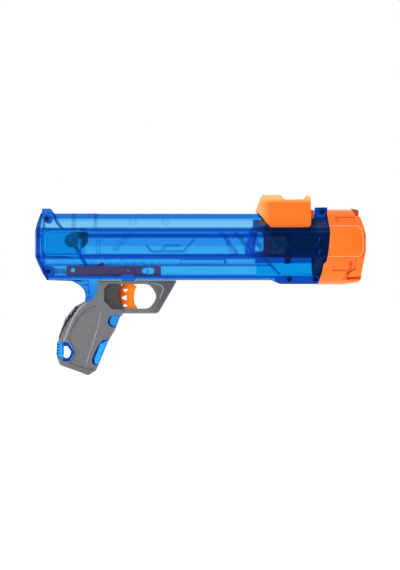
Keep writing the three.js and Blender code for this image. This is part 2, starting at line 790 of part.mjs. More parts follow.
// Bosses, posts and ribs that stand inside the bore
function housingFittings() {
  const wall = barrelRadius - barrelWall / 2;
  const rightBoss = rodY(pivotBossRadius, -wall, -searHalfWidth - searSpringRoom, searPivotX, searPivotZ);
  const leftBoss = rodY(pivotBossRadius, legOuter + pivotBossGap, wall, searPivotX, searPivotZ);
  const guidePost = rodY(guidePostRadius, -wall, wall, guidePostX, guidePostZ)
    .intersect(rodX(wall, 0, barrelFront, 0, 0, barrelSides));
  const rearBosses = shellScrews.filter(({ x }) => x < cheekRear)
    .map(({ x, z, boss, face }) => rodY(boss, -face, face, x, z, bossSides));
  return [rightBoss, leftBoss, guidePost, ...rearBosses];
}

function badgeOutline(gap) {
  const inset = badgeRim + badgeEdge + gap;
  const corner = badgeCorner - inset;
  return [
    [badgeRear + inset, badgeTop - inset, corner], [badgeRear + inset, badgeBottom + inset, corner],
    [badgeFront - inset, badgeBottom + inset, badgeRim], [badgeFront - inset, badgeTop - inset, badgeRim],
  ];
}

function housingHoles() {
  const searBore = rodY(
    searPinRadius + pinGap, -searHalfWidth - searPinReach, legOuter + searPinReach,
    searPivotX, searPivotZ,
  );
  const anchorReach = anchorPinHalfLength + slipGap;
  const anchorHoles = [-1, 1].map((side) => rodZ(
    bandPinRadius + pinGap, channelCentre - anchorReach, channelCentre + anchorReach,
    anchorX, side * bandOffset,
  ));
  const screwHoles = shellScrews.flatMap(({ x, z, face, sink }) => {
    const seat = -face + sink + screwHeadHeight;
    return [
      rodY(screwShankRadius + screwRoom, -face - cutOverrun, screwBite + 2 * screwRoom, x, z),
      rodY(screwHeadRadius + screwRoom, -face - cutOverrun, seat, x, z),
    ];
  });
  const badgeSeats = [-1, 1].map((side) => {
    const seat = side * (badgeHalfWidth - badgePlateThickness - slipGap);
    const out = side * (badgeHalfWidth + cutOverrun);
    return slab(badgeOutline(0), Math.min(seat, out), Math.max(seat, out));
  });
  return [searBore, ...anchorHoles, ...screwHoles, ...badgeSeats];
}

// The grip's core: beavertail, inner column, window pads and lanyard loop

const tailGrooveDepth = 0.7;

function gripCore() {
  const column = slab(core, -coreHalfWidth, coreHalfWidth);
  const grooveBottom = beavertailHalfWidth - tailGrooveDepth;
  const grooves = tailGrooveShares.flatMap((line) => {
    const outline = ribOutline(placed(line, gripBox), ribWidth);
    return [
      slab(outline, grooveBottom, gripHalfWidth),
      slab(outline, -gripHalfWidth, -grooveBottom),
    ];
  });
  const tail = cut(slab(beavertail, -beavertailHalfWidth, beavertailHalfWidth, tailEdge), grooves);
  const loop = slab(loopOutline, -loopHalfWidth, loopHalfWidth, tailEdge / 2);
  const loopHole = slab(placed(loopHoleShares, gripBox), -gripHalfWidth, gripHalfWidth);
  const pads = [upperWindow, lowerWindow].map((window) => (
    slab(window, -gripHalfWidth, gripHalfWidth, 0, -slipGap).intersect(gripSolid)
  ));
  const butt = slab(buttLine, -gripHalfWidth, gripHalfWidth, 0, slipGap);
  const screwHoles = gripScrews.map(([x, z]) => (
    rodY(screwShankRadius + screwRoom, -gripHalfWidth, gripHalfWidth, x, z)
  ));
  return cut(joined([column, tail, loop, ...pads]), [loopHole, butt, ...screwHoles]);
}

const housing = cut(
  cut(housingOutside(), housingInside()).add(joined(housingFittings())).add(gripCore()),
  housingHoles(),
);
const far = 4 * barrelRadius;
const rightHalf = block(-far, overallLength + far, -far, -slipGap / 2, -far, far);
const leftHalf = block(-far, overallLength + far, slipGap / 2, far, -far, far);
addPart('shell_right', housing.intersect(rightHalf), bluePlastic());
addPart('shell_left', housing.intersect(leftHalf), bluePlastic());

// Badge plates: bare plates let into the rear sides

[['badge_plate_right', -1], ['badge_plate_left', 1]].forEach(([name, side]) => {
  const inner = side * (badgeHalfWidth - badgePlateThickness);
  const outer = side * (badgeHalfWidth - slipGap);
  const plate = slab(badgeOutline(slipGap), Math.min(inner, outer), Math.max(inner, outer));
  addPart(name, plate, cyanPlastic());
});

// Grip covers: two grey halves with the finger guard, cut away round the blue core. The finger
// slot has a shallow rim, and behind the trigger a wall on each side hides the bore of the slot.

const triggerHalfWidth = 6.5;
const pocketWall = 1.5;
const slotRim = 1.2;
const panelDepth = 0.5;
const slitWidth = 1.9;
const slitDepth = 5.5;
const gripScrewSink = 0.2;
const gripScrewBite = 2.2;
const stemSlotShare = 0.125;

function fingerOpening(wide) {
  const rim = guardHalfWidth - slotRim;
  const plain = roundedRing(fingerSlot);
  const opened = roundedRing(fingerSlot, -slotRim);
  return loftAcross([
    { y: -wide, points: opened }, { y: -guardHalfWidth, points: opened }, { y: -rim, points: plain },
    { y: rim, points: plain }, { y: guardHalfWidth, points: opened }, { y: wide, points: opened },
  ]);
}

function gripCovers() {
  const guard = slab(placed(guardShares, gripBox), -guardHalfWidth, guardHalfWidth, guardEdge);
  const wide = gripHalfWidth + cutOverrun;
  const stemSlot = block(
    stemRear - triggerTravel - stemRoom, stemFront + stemRoom,
    -stemHalfWidth - stemRoom, stemHalfWidth + stemRoom,
    gripBox.top - gripBox.height * stemSlotShare, gripBox.top + cutOverrun,
  );
  const body = cut(gripSolid.add(guard), [
    fingerOpening(wide),
    slab(core, -coreHalfWidth - slipGap, coreHalfWidth + slipGap, 0, slipGap),
    slab(beavertail, -wide, wide, 0, slipGap),
    slab(loopOutline, -wide, wide, 0, slipGap),
    slab(upperWindow, -wide, wide),
    slab(lowerWindow, -wide, wide),
    slab(buttLine, -wide, wide, 0, slipGap),
    stemSlot,
  ]);

  const pocketInner = triggerHalfWidth + stemRoom;
  const pocketOuter = pocketInner + pocketWall;
  const sides = [-1, 1].flatMap((side) => {
    const span = (from, to) => [Math.min(side * from, side * to), Math.max(side * from, side * to)];
    const panel = slab(placed(sidePanelShares, gripBox), ...span(gripHalfWidth - panelDepth, wide));
    const slits = gripSlitShares.map((line) => (
      slab(ribOutline(placed(line, gripBox), slitWidth), ...span(gripHalfWidth - slitDepth, wide))
    ));
    return [panel, ...slits];
  });
  const walls = [[-pocketOuter, -pocketInner], [pocketInner, pocketOuter]].map(([low, high]) => (
    slab(placed(pocketShares, gripBox), low, high)
  ));
  const screwHoles = gripScrews.flatMap(([x, z]) => {
    const headSeat = gripHalfWidth - gripScrewSink - screwHeadHeight;
    const tip = coreHalfWidth + slipGap + gripScrewBite;
    return [
      rodY(screwShankRadius + screwRoom, -tip - screwRoom, wide, x, z),
      rodY(screwHeadRadius + screwRoom, headSeat, wide, x, z),
    ];
  });
  return cut(body, sides).add(joined(walls)).subtract(joined(screwHoles));
}

const covers = gripCovers();
addPart('grip_cover_right', covers.intersect(rightHalf), greyPlastic());
addPart('grip_cover_left', covers.intersect(leftHalf), greyPlastic());

const buttCut = slab(buttLine, -gripHalfWidth - cutOverrun, gripHalfWidth + cutOverrun);
addPart('butt_cap', gripSolid.intersect(buttCut), greyPlastic());

// Grip screws: in by the left cover, through the core and into the right cover

['grip_screw_upper', 'grip_screw_lower'].forEach((name, i) => {
  const [x, z] = gripScrews[i];
  const headFace = gripHalfWidth - gripScrewSink - panelDepth;
  const seat = gripHalfWidth - gripScrewSink - screwHeadHeight + pinGap;
  const tip = coreHalfWidth + slipGap + gripScrewBite;
  const head = rodY(screwHeadRadius, seat, headFace, x, z);
  const shank = rodY(screwShankRadius, -tip, headFace - slipGap, x, z);
  addPart(name, head.add(shank), blackSteel());
});

// Muzzle collar: an orange ring that laps over the barrel, with petals at the front

const collarFlareWall = 6;
const collarFlare = collarRadius - collarFlareWall;
const collarLip = sleeveOuterRadius;
const collarLipDepth = 18.7;
const lipThickness = 4;
const collarLipX = overallLength - collarLipDepth;
const retainerWall = 3.7;
const retainerOuter = sleeveInnerRadius + retainerWall;
const sidePanelProud = 1.4;
const facePanelShares = [
  [0.238, 0.2335, 0], [0.238, 0.6364, 0], [0.93, 0.6364, 0.04], [0.9655, 0.55, 0.04],
  [0.9655, 0.33, 0.05], [0.92, 0.2335, 0.05],
];
const toothHalfWidth = 9;
const toothRoom = 3;
const toothGap = 0.5;
const toothSetback = 2;
const toothLength = 8.6;
const petalNotchWidth = 7;
const petalNotchDepth = 22;
const petalNotchAngle = 2.58;
const recessDepth = 1.6;
const upperRecess = { angle: 0.81, width: 12, rearShare: 0.391, frontShare: 0.788 };
const lowerRecess = { angle: 2.19, width: 9.2, rearShare: 0.303, frontShare: 0.693 };
const frontRecessShares = [
  [0.652, 0.69, 0], [0.602, 0.864, 0], [0.803, 0.799, 0], [0.8155, 0.665, 0],
];

function muzzleCollar() {
  const lapRadius = barrelRadius + slipGap;
  const ring = turned([
    [muzzleRear, lapRadius], [muzzleRear, collarRadius],
    [overallLength, collarRadius], [overallLength, collarFlare], [collarLipX + lipThickness, collarLip],
    [collarLipX, collarLip], [collarLipX, retainerOuter + slipGap],
    [barrelFront + slipGap, retainerOuter + slipGap], [barrelFront + slipGap, lapRadius],
  ]);
  const high = 2 * collarRadius;
  const farFront = overallLength + cutOverrun;
  const outline = slab(placed(muzzleShares, muzzleBox), -high, high);
  const panel = slab(
    placed(facePanelShares, muzzleBox), -collarRadius - sidePanelProud,
    collarRadius + sidePanelProud, sidePanelProud,
  ).subtract(rodX(collarRadius - sidePanelProud, 0, farFront, 0, 0, barrelSides));
  const recesses = [upperRecess, lowerRecess].flatMap(({ angle, width, rearShare, frontShare }) => (
    [-angle, angle].map((turn) => standing(
      muzzleRear + rearShare * muzzleLength, muzzleRear + frontShare * muzzleLength, width,
      collarRadius - recessDepth, collarRadius + cutOverrun, turn,
    ))
  ));
  const frontRecess = slab(placed(frontRecessShares, muzzleBox), -high, high)
    .subtract(rodX(collarRadius - recessDepth, 0, farFront, 0, 0, barrelSides));
  const petalNotches = [-petalNotchAngle, petalNotchAngle].map((angle) => standing(
    overallLength - petalNotchDepth, farFront, petalNotchWidth, collarRadius / 2, high, angle,
  ));
  const toothNotch = standing(
    collarLipX - cutOverrun, farFront, 2 * (toothHalfWidth + toothRoom), collarRadius / 2, high, 0,
  );
  return cut(ring, [...recesses, frontRecess]).add(panel)
    .subtract(joined([...petalNotches, toothNotch]))
    .intersect(outline);
}

addPart('muzzle_collar', muzzleCollar(), orangePlastic());

// Chamber sleeve: the dark tube that holds the ball, notched for the band anchors. Its lower
// rear quarter is left open.

const sleeveOpening = 26;

function chamberSleeve() {
  const ring = turned([
    [sleeveRear, sleeveInnerRadius], [sleeveRear, sleeveOuterRadius],
    [sleeveFront, sleeveOuterRadius], [sleeveFront, sleeveInnerRadius],
  ]);
  const beyond = 2 * boreRadius;
  const notchHalf = 2 * eyeRadius;
  const notchRise = strapHalfHeight + strapRoom;
  const notch = block(
    anchorX - notchHalf, anchorX + notchHalf, -beyond, beyond, channelCentre - notchRise,
    channelCentre + notchRise,
  );
  const opening = block(0, sleeveRear + sleeveOpening, -beyond, beyond, -beyond, -cheekBottom);
  return cut(ring, [notch, opening]);
}

addPart('chamber_sleeve', chamberSleeve(), plumPlastic());

// Ball retainer: a ring in the muzzle whose fingers hook in ahead of the ball, with one tooth
// that stands up through the collar at the top

const hookDepth = 2.2;
const hookLength = 5;
const ringSlit = 3;
const ringBase = 5;
const armWall = 2;

function ballRetainer() {
  const rear = barrelFront + 2 * slipGap;
  const front = collarLipX - slipGap;
  const ring = turned([
    [rear, sleeveInnerRadius], [rear, retainerOuter], [front, retainerOuter],
    [front, sleeveInnerRadius], [front - hookLength / 2, sleeveInnerRadius - hookDepth],
    [front - hookLength, sleeveInnerRadius],
  ]);
  const slits = [0, 1, 2, 3].map((pair) => {
    const geometry = new THREE.BoxGeometry(front - rear, ringSlit, 4 * collarRadius);
    geometry.translate((front + rear) / 2 + ringBase, 0, 0);
    geometry.rotateX(pair * (Math.PI / 4) + Math.PI / 8);
    return solidOf(geometry);
  });
  const armBottom = sleeveInnerRadius + stemRoom;
  const toothRear = collarLipX + lipThickness - toothGap;
  const toothFront = toothRear + toothLength;
  const arm = block(
    front - hookLength / 2, toothFront, -toothHalfWidth, toothHalfWidth, armBottom, armBottom + armWall,
  );
  const tooth = slab([
    [toothRear, collarRadius - pinGap, 0], [toothRear + toothSetback, armBottom, 0],
    [toothFront, armBottom, 0], [toothFront, collarRadius - toothSetback, 0],
  ], -toothHalfWidth, toothHalfWidth);
  return cut(ring, slits).add(joined([arm, tooth]));
}

addPart('ball_retainer', ballRetainer(), redPlastic());

// Priming handle: a saddle over the barrel, its underside cleared for barrel and rails

const handleSetback = 13.1;
const handleFrontRoom = 6.2;
const handleRise = 22.7;
const handleRear = pusherRear + handleSetback;
const handleBottom = cheekTop + slipGap;
const handleTop = barrelRadius + handleRise;
const handleBox = {
  rear: handleRear,
  top: handleTop,
  length: postRear - handleFrontRoom - handleRear,
  height: handleTop - handleBottom,
};
const handleShares = [
  [0.11, 0, 0.09], [0, 0.47, 0.06], [0.257, 1, 0.06], [1, 1, 0.12], [1, 0.07, 0.06],
  [0.93, 0, 0.06], [0.88, 0.152, 0.1], [0.515, 0.152, 0.1], [0.45, 0, 0.08],
];
const handleInset = 7;
const handleTopInset = 10.5;
const handleHalfWidth = cheekOuter - handleInset;
const handleTopHalfWidth = handleHalfWidth - handleTopInset;
const handleShoulderRound = 8;
const handleTopRound = 9;
const handlePlanRound = 3;
const handleShoulder = 0.3;
const handleTaper = 0.24;
const handleGap = 0.7;
const noseHalfWidth = 25;
const noseReach = 5.5;
const noseRise = 1.3;
const noseHeight = 20.6;
const noseEdge = 2;
const noseShares = [[0, 0, 0], [0, 1, 0], [0.87, 1, 0.08], [1, 0, 0.12]];
const handleScrewInset = 6;
const handleScrewBite = 9;
const handleScrewPlaces = [neckRear + handleScrewInset, neckFront - handleScrewInset];

function primingHandle() {
  const saddle = slab(placed(handleShares, handleBox), -handleHalfWidth, handleHalfWidth);
  const shoulder = handleBottom + handleBox.height * handleShoulder;
  const section = beam([
    [-handleHalfWidth, handleBottom - cutOverrun, 0], [handleHalfWidth, handleBottom - cutOverrun, 0],
    [handleHalfWidth, shoulder, handleShoulderRound], [handleTopHalfWidth, handleTop, handleTopRound],
    [-handleTopHalfWidth, handleTop, handleTopRound], [-handleHalfWidth, shoulder, handleShoulderRound],
  ], handleRear - cutOverrun, postRear);
  const wide = handleHalfWidth + cutOverrun;
  const taperStart = handleRear + handleBox.length * handleTaper;
  const plan = tower([
    [handleRear - cutOverrun, handleTopHalfWidth, 0], [handleRear - cutOverrun, -handleTopHalfWidth, 0],
    [taperStart, -wide, handlePlanRound], [postRear, -wide, 0],
    [postRear, wide, 0], [taperStart, wide, handlePlanRound],
  ], 0, 2 * handleTop);
  const noseBox = {
    rear: handleRear + handleBox.length / 2,
    top: handleBottom + noseRise + noseHeight,
    length: handleBox.length / 2 + noseReach,
    height: noseHeight,
  };
  const nose = slab(placed(noseShares, noseBox), -noseHalfWidth, noseHalfWidth, noseEdge);
  const clearance = rodX(barrelRadius + handleGap, 0, overallLength, 0, 0, barrelSides);
  const neck = block(
    neckRear, neckFront, -neckHalfWidth, neckHalfWidth, carriageTop + slipGap, barrelRadius + 2 * handleGap,
  );
  const screwHoles = handleScrewPlaces.map((x) => (
    rodZ(screwShankRadius + screwRoom, carriageTop, carriageTop + handleScrewBite + screwRoom, x, 0)
  ));
  return cut(cut(saddle.intersect(section).intersect(plan).add(nose), [clearance]).add(neck), screwHoles);
}

addPart('priming_handle', primingHandle(), orangePlastic());

// Handle carriage: runs under the top slot and bears on the pusher's lug

const carriageEdge = 1;
const handleScrewHead = 1.8;

function handleCarriage() {
  const plate = slab([
    [carriageRear, carriageTop, carriageEdge], [carriageRear, carriageBottom, carriageEdge],
    [carriageFront, carriageBottom, carriageEdge], [carriageFront, carriageTop, carriageEdge],
  ], -carriageHalfWidth, carriageHalfWidth, carriageEdge);
  const holes = handleScrewPlaces.flatMap((x) => [
    rodZ(screwShankRadius + screwRoom, carriageBottom - cutOverrun, carriageTop + cutOverrun, x, 0),
    rodZ(screwHeadRadius + screwRoom, carriageBottom - cutOverrun, carriageBottom + screwHeadHeight, x, 0),
  ]);
  return cut(plate, holes);
}

addPart('handle_carriage', handleCarriage(), orangePlastic());

['handle_screw_rear', 'handle_screw_front'].forEach((name, i) => {
  const x = handleScrewPlaces[i];
  const headTop = carriageBottom + screwHeadHeight - slipGap / 2;
  const head = rodZ(screwHeadRadius, headTop - handleScrewHead, headTop, x, 0);
  const shank = rodZ(screwShankRadius, headTop - slipGap, carriageTop + handleScrewBite, x, 0);
  addPart(name, head.add(shank), blackSteel());
});

// Pusher: a flat bottomed disc on an open frame, with ears in the side channels, a lug for the
// carriage and a catch bar for the sear

const pusherDisc = 4;
const pusherPad = 1.8;
const pusherPadMargin = 7.3;
const pusherGap = 1.2;
const frameInner = 8;
const frameOuter = 11;
const frameRound = 2;
const frameBottom = -13;
const catchTop = 1.5;
const catchBottom = -6;
const lugSetback = 9.5;
const lugRear = pusherRear + lugSetback;
const bridgeGap = 0.8;
const bridgeTop = carriageBottom - bridgeGap;
const bridgeThickness = 2.2;
const frameOpeningShares = [[0.3, 0.22, 0.06], [0.23, 0.82, 0.06], [0.46, 0.82, 0.06], [0.46, 0.22, 0.06]];

function pusherEar(side) {
  const earTip = channelOuter - slipGap;
  const [y0, y1] = side < 0 ? [-earTip, -frameInner] : [frameInner, earTip];
  const arm = block(earRear, earFront, y0, y1, channelCentre - earHalfHeight, channelCentre + earHalfHeight);
  const mouth = bandOffset - eyeRadius - slipGap;
  const [m0, m1] = side < 0 ? [-2 * boreRadius, -mouth] : [mouth, 2 * boreRadius];
  const mouthRise = strapHalfHeight + 2 * slipGap;
  const clevis = block(
    earRear - cutOverrun, earFront + cutOverrun, m0, m1,
    channelCentre - mouthRise, channelCentre + mouthRise,
  );
  const pinHole = rodZ(
    bandPinRadius + pinGap, channelCentre - earHalfHeight + 2 * slipGap,
    channelCentre + earHalfHeight + cutOverrun, bandPinX, side * bandOffset,
  );
  return cut(arm, [clevis, pinHole]);
}

function pusherBody() {
  const discFront = pusherFace - pusherPad;
  const discRear = discFront - pusherDisc;
  const discMiddle = discRear + pusherDisc / 2;
  const runner = -floorDepth + runGap;
  const discRadius = boreRadius - pusherGap;
  const notchHalf = carriageHalfWidth + pusherGap;
  const beyond = 2 * boreRadius;
  const disc = cut(rodX(discRadius, discRear, discFront, 0, 0, barrelSides), [
    block(0, overallLength, -beyond, beyond, -beyond, runner),
    block(0, overallLength, -notchHalf, notchHalf, bridgeTop, beyond),
  ]);
  const frames = slab([
    [pusherRear, catchTop, 0], [pusherRear, frameBottom, frameRound], [discMiddle, frameBottom, 0],
    [discMiddle, bridgeTop, 0], [lugRear, bridgeTop, frameRound],
  ], -frameOuter, frameOuter);
  const pocket = block(
    pusherRear - cutOverrun, discRear, -frameInner, frameInner, frameBottom - cutOverrun,
    bridgeTop - bridgeThickness,
  );
  const openingBox = {
    rear: pusherRear, top: bridgeTop, length: discRear - pusherRear, height: bridgeTop - frameBottom,
  };
  const wide = frameOuter + cutOverrun;
  const opening = slab(placed(frameOpeningShares, openingBox), -wide, wide);
  const catchBar = block(
    pusherRear, pusherRear + catchThickness, -frameOuter, frameOuter, catchBottom, catchTop,
  );
  const lug = block(
    lugRear, carriageRear - slipGap, -frameInner, frameInner, bridgeTop - bridgeThickness, carriageTop,
  );
  return cut(frames, [pocket, opening]).add(joined([disc, catchBar, lug, pusherEar(-1), pusherEar(1)]));
}

addPart('pusher', pusherBody(), redPlastic());

function pusherPadSolid() {
  const radius = boreRadius - pusherPadMargin;
  const face = rodX(radius, pusherFace - pusherPad + slipGap, pusherFace, 0, 0, barrelSides);
  const flat = floorDepth - 2 * runGap;
  return face.intersect(block(0, overallLength, -boreRadius, boreRadius, -flat, flat));
}

addPart('pusher_pad', pusherPadSolid(), blackRubber());

// Band pins and anchor pins

[['right', -1], ['left', 1]].forEach(([sideName, side]) => {
  const pin = rodZ(
    bandPinRadius, channelCentre - earHalfHeight + 3 * slipGap, channelCentre + earHalfHeight - slipGap,
    bandPinX, side * bandOffset,
  );
  addPart(`pusher_pin_${sideName}`, pin, steel());
  const anchor = rodZ(
    bandPinRadius, channelCentre - anchorPinHalfLength, channelCentre + anchorPinHalfLength,
    anchorX, side * bandOffset,
  );
  addPart(`anchor_pin_${sideName}`, anchor, steel());
});

// Power bands: latex straps with an eye round a pin at each end

function powerBand(side) {
  const y = side * bandOffset;
  const low = channelCentre - strapHalfHeight;
  const high = channelCentre + strapHalfHeight;
  const ends = [bandPinX, anchorX];
  const eyes = ends.map((x) => rodZ(eyeRadius, low, high, x, y));
  const strap = block(bandPinX, anchorX, y - strapThickness / 2, y + strapThickness / 2, low, high);
  const holes = ends.map((x) => (
    rodZ(bandPinRadius + slipGap, low - cutOverrun, high + cutOverrun, x, y)
  ));
  return cut(joined([...eyes, strap]), holes);
}

addPart('power_band_right', powerBand(-1), blackRubber());
addPart('power_band_left', powerBand(1), blackRubber());

// Front bumpers: rubber blocks in the channels that stop the pusher's ears

function frontBumper(side) {
  const x0 = earFront + slipGap;
  const half = channelHalfHeight - slipGap;
  const inner = side * (boreRadius + slipGap);
  const outer = side * (channelOuter - slipGap);
  const back = side * (bandOffset + strapThickness / 2 + slipGap);
  const body = block(
    x0, x0 + bumperLength, Math.min(inner, outer), Math.max(inner, outer),
    channelCentre - half, channelCentre + half,
  );
  const room = block(
    x0 - cutOverrun, x0 + bumperLength + cutOverrun, Math.min(0, back), Math.max(0, back),
    channelCentre - strapHalfHeight - slipGap, channelCentre + strapHalfHeight + slipGap,
  );
  return body.subtract(room);
}

addPart('front_bumper_right', frontBumper(-1), blackRubber());
addPart('front_bumper_left', frontBumper(1), blackRubber());

// Sear: a hub on a pin, an arm with a pointed nose that drops ahead of the catch bar, and a leg
// at its left whose foot stands on the trigger bar's cam

const armRise = 11.2;
const armHeight = 20.6;
const noseLength = 7.9;
const noseTipLength = 1.6;
const footSides = 16;

function searBody() {
  const hub = rodY(searHubRadius, -searHalfWidth, legOuter, searPivotX, searPivotZ, bossSides);
  const armBox = {
    rear: searPivotX, top: searPivotZ + armRise, length: searReach + noseLength, height: armHeight,
  };
  const noseShare = searReach / armBox.length;
  const tipShare = (searReach + noseTipLength) / armBox.length;
  const armShares = [
    [0, 0, 0], [0, 0.5, 0], [0.35, 0.42, 0.05], [noseShare, 0.42, 0], [noseShare, 1, 0],
    [tipShare, 1, 0], [1, 0.62, 0.05], [1, 0.12, 0.05], [0.92, 0, 0.05],
  ];
  const arm = slab(placed(armShares, armBox), -searHalfWidth, searHalfWidth);
  const pivot = new THREE.Vector2(searPivotX, searPivotZ);
  const reach = new THREE.Vector2(footForward, -footDrop);
  const foot = pivot.clone().add(reach);
  const along = reach.clone().normalize();
  const across = new THREE.Vector2(-along.y, along.x).multiplyScalar(footRadius);
  const legCorners = [
    pivot.clone().sub(across), foot.clone().sub(across), foot.clone().add(across), pivot.clone().add(across),
  ];
  const leg = slab(legCorners.map((corner) => [corner.x, corner.y, 0]), legInner, legOuter);
  const footRod = rodY(footRadius, legInner, legOuter, foot.x, foot.y, footSides);
  const pinHole = rodY(
    searPinRadius + pinGap, -searHalfWidth - cutOverrun, legOuter + cutOverrun, searPivotX, searPivotZ,
  );
  return joined([hub, arm, leg, footRod]).subtract(pinHole);
}

addPart('sear', searBody(), darkPlastic());

const searPin = rodY(
  searPinRadius, -searHalfWidth - searPinReach + slipGap, legOuter + searPinReach - slipGap,
  searPivotX, searPivotZ,
);
addPart('sear_pin', searPin, steel());

// Trigger bar: a thin plate under the floor with a long hole round the guide post and a cam at
// its left that lifts the sear's foot

const camDepth = 6.9;
const camBottom = barTop - camDepth;
const camSteps = 8;
const longHoleRoundShare = 0.9;
const rearHoleRadius = 2.7;
const rearHoleLead = 8;
const rearHoleDrop = 5;
const triggerPinX = (stemRear + stemFront) / 2;
const triggerPinZ = guidePostZ;

// The cam's top follows the foot's bottom as the bar moves back and the sear turns with it.
function camCorners() {
  const tops = [];
  for (let k = 0; k <= camSteps; k++) {
    const part = k / camSteps;
    const angle = -searLiftAngle * part;
    const x = footForward * Math.cos(angle) - footDrop * Math.sin(angle);
    const z = -footForward * Math.sin(angle) - footDrop * Math.cos(angle);
    tops.push(new THREE.Vector2(searPivotX + x + triggerTravel * part, searPivotZ + z));
  }
  const offset = tops.map((point, k) => {
    const ahead = tops[Math.min(k + 1, camSteps)];
    const behind = tops[Math.max(k - 1, 0)];
    const along = ahead.clone().sub(behind).normalize();
    const drop = footRadius + slipGap;
    return [point.x + along.y * drop, point.y - along.x * drop, 0];
  });
  const first = offset[0];
  const last = offset[camSteps];
  return [
    [first[0] - 2 * footRadius, first[1], 0], [first[0] - 2 * footRadius, camBottom, 0],
    [last[0] + footRadius, camBottom, 0], [last[0] + footRadius, last[1], 0],
    ...offset.reverse(),
  ];
}

function triggerBar() {
  const plate = block(barRear, barFront, -barHalfWidth, barHalfWidth, barBottom, barTop);
  const slotHalfHeight = guidePostRadius + slipGap;
  const slotRear = guidePostX - guidePostRadius - slipGap;
  const slotFront = guidePostX + guidePostRadius + triggerTravel + slipGap;
  const slotRound = slotHalfHeight * longHoleRoundShare;
  const longHole = slab([
    [slotRear, guidePostZ + slotHalfHeight, slotRound], [slotRear, guidePostZ - slotHalfHeight, slotRound],
    [slotFront, guidePostZ - slotHalfHeight, slotRound], [slotFront, guidePostZ + slotHalfHeight, slotRound],
  ], -stemHalfWidth, stemHalfWidth);
  const rearHole = rodY(
    rearHoleRadius, -stemHalfWidth, stemHalfWidth, barRear + rearHoleLead, barTop - rearHoleDrop,
  );
  const pinHole = rodY(bandPinRadius + pinGap, -stemHalfWidth, stemHalfWidth, triggerPinX, triggerPinZ);
  const corners = camCorners();
  const cam = slab(corners, legInner - slipGap, legOuter + slipGap);
  const wing = block(
    corners[1][0], corners[2][0], barHalfWidth - slipGap, legOuter + slipGap, camBottom, corners[0][1],
  );
  return cut(plate, [longHole, rearHole, pinHole]).add(wing).add(cam);
}

addPart('trigger_bar', triggerBar(), redPlastic());

// Trigger: a slider that fills the finger slot's height, with a fork over the bar

const triggerEdge = 2;
const stemFoot = 0.08;
const triggerShares = [
  [0.5, 0.058, 0.02], [0.463, 0.12, 0.02], [0.463, 0.2, 0.02], [0.53, 0.297, 0.01],
  [0.672, 0.297, 0.005], [0.645, 0.24, 0.05], [0.639, 0.182, 0.05],
  [0.645, 0.118, 0.05], [0.665, 0.058, 0.005],
];
const triggerHoleShares = [
  [[0.571, 0.128, 0.008], [0.598, 0.092, 0.008], [0.545, 0.092, 0.008]],
  [[0.532, 0.184, 0.008], [0.582, 0.217, 0.008], [0.582, 0.152, 0.008]],
  [[0.546, 0.278, 0.008], [0.598, 0.278, 0.008], [0.565, 0.243, 0.008]],
];

function triggerBody() {
  const wide = triggerHalfWidth + cutOverrun;
  const blade = slab(placed(triggerShares, gripBox), -triggerHalfWidth, triggerHalfWidth, triggerEdge);
  const holes = triggerHoleShares.map((shares) => slab(placed(shares, gripBox), -wide, wide));
  const stemTop = barTop - runGap;
  const stemBottom = gripBox.top - gripBox.height * stemFoot;
  const stem = block(stemRear, stemFront, -stemHalfWidth, stemHalfWidth, stemBottom, stemTop);
  const forkHalf = barHalfWidth + slipGap;
  const fork = block(
    stemRear - cutOverrun, stemFront + cutOverrun, -forkHalf, forkHalf, barBottom - slipGap, 0,
  );
  const pinHole = rodY(
    bandPinRadius + pinGap, -stemHalfWidth - cutOverrun, stemHalfWidth + cutOverrun,
    triggerPinX, triggerPinZ,
  );
  return cut(cut(blade, holes).add(stem), [fork, pinHole]);
}

addPart('trigger', triggerBody(), triggerPlastic());

const triggerPin = rodY(
  bandPinRadius, -stemHalfWidth + slipGap, stemHalfWidth - slipGap, triggerPinX, triggerPinZ,
);
addPart('trigger_pin', triggerPin, steel());

// Springs: one wound tube each, with straight ends square to what they meet

const springSides = 5;
const springStepsPerTurn = 8;

function springSolid(curve, turns, wireRadius) {
  const ring = Array.from({ length: springSides }, (_, i) => {
    const angle = (i / springSides) * 2 * Math.PI;
    return new THREE.Vector2(wireRadius * Math.cos(angle), wireRadius * Math.sin(angle));
  });
  const geometry = new THREE.ExtrudeGeometry(new THREE.Shape(ring), {
    steps: turns * springStepsPerTurn,
    bevelEnabled: false,
    extrudePath: curve,
  });
  return solidOf(geometry);
}

class Helix extends THREE.Curve {
  constructor(start, axis, across, radius, length, turns) {
    super();
    Object.assign(this, { start, axis, across, radius, length, turns });
    this.up = axis.clone().cross(across);
  }

  getPoint(t) {
    const angle = t * this.turns * 2 * Math.PI;
    return this.start.clone()
      .addScaledVector(this.axis, t * this.length)
      .addScaledVector(this.across, this.radius * Math.cos(angle))
      .addScaledVector(this.up, this.radius * Math.sin(angle));
  }
}

const springWire = 0.5;
const springRoom = springWire + slipGap;
const lengthwise = new THREE.Vector3(1, 0, 0);
const crosswise = new THREE.Vector3(0, 1, 0);

const triggerSpringRadius = 3.6;
const triggerSpringTurns = 6;
const springSeat = shellScrews.find(({ name }) => name === 'shell_screw_rear_bottom');
const triggerSpringRear = springSeat.x + springSeat.boss + springRoom;
const triggerSpringPath = new Helix(
  new THREE.Vector3(triggerSpringRear, 0, guidePostZ), lengthwise, crosswise, triggerSpringRadius,
  barRear - springRoom - triggerSpringRear, triggerSpringTurns,
);
addPart('trigger_spring', springSolid(triggerSpringPath, triggerSpringTurns, springWire), steel());

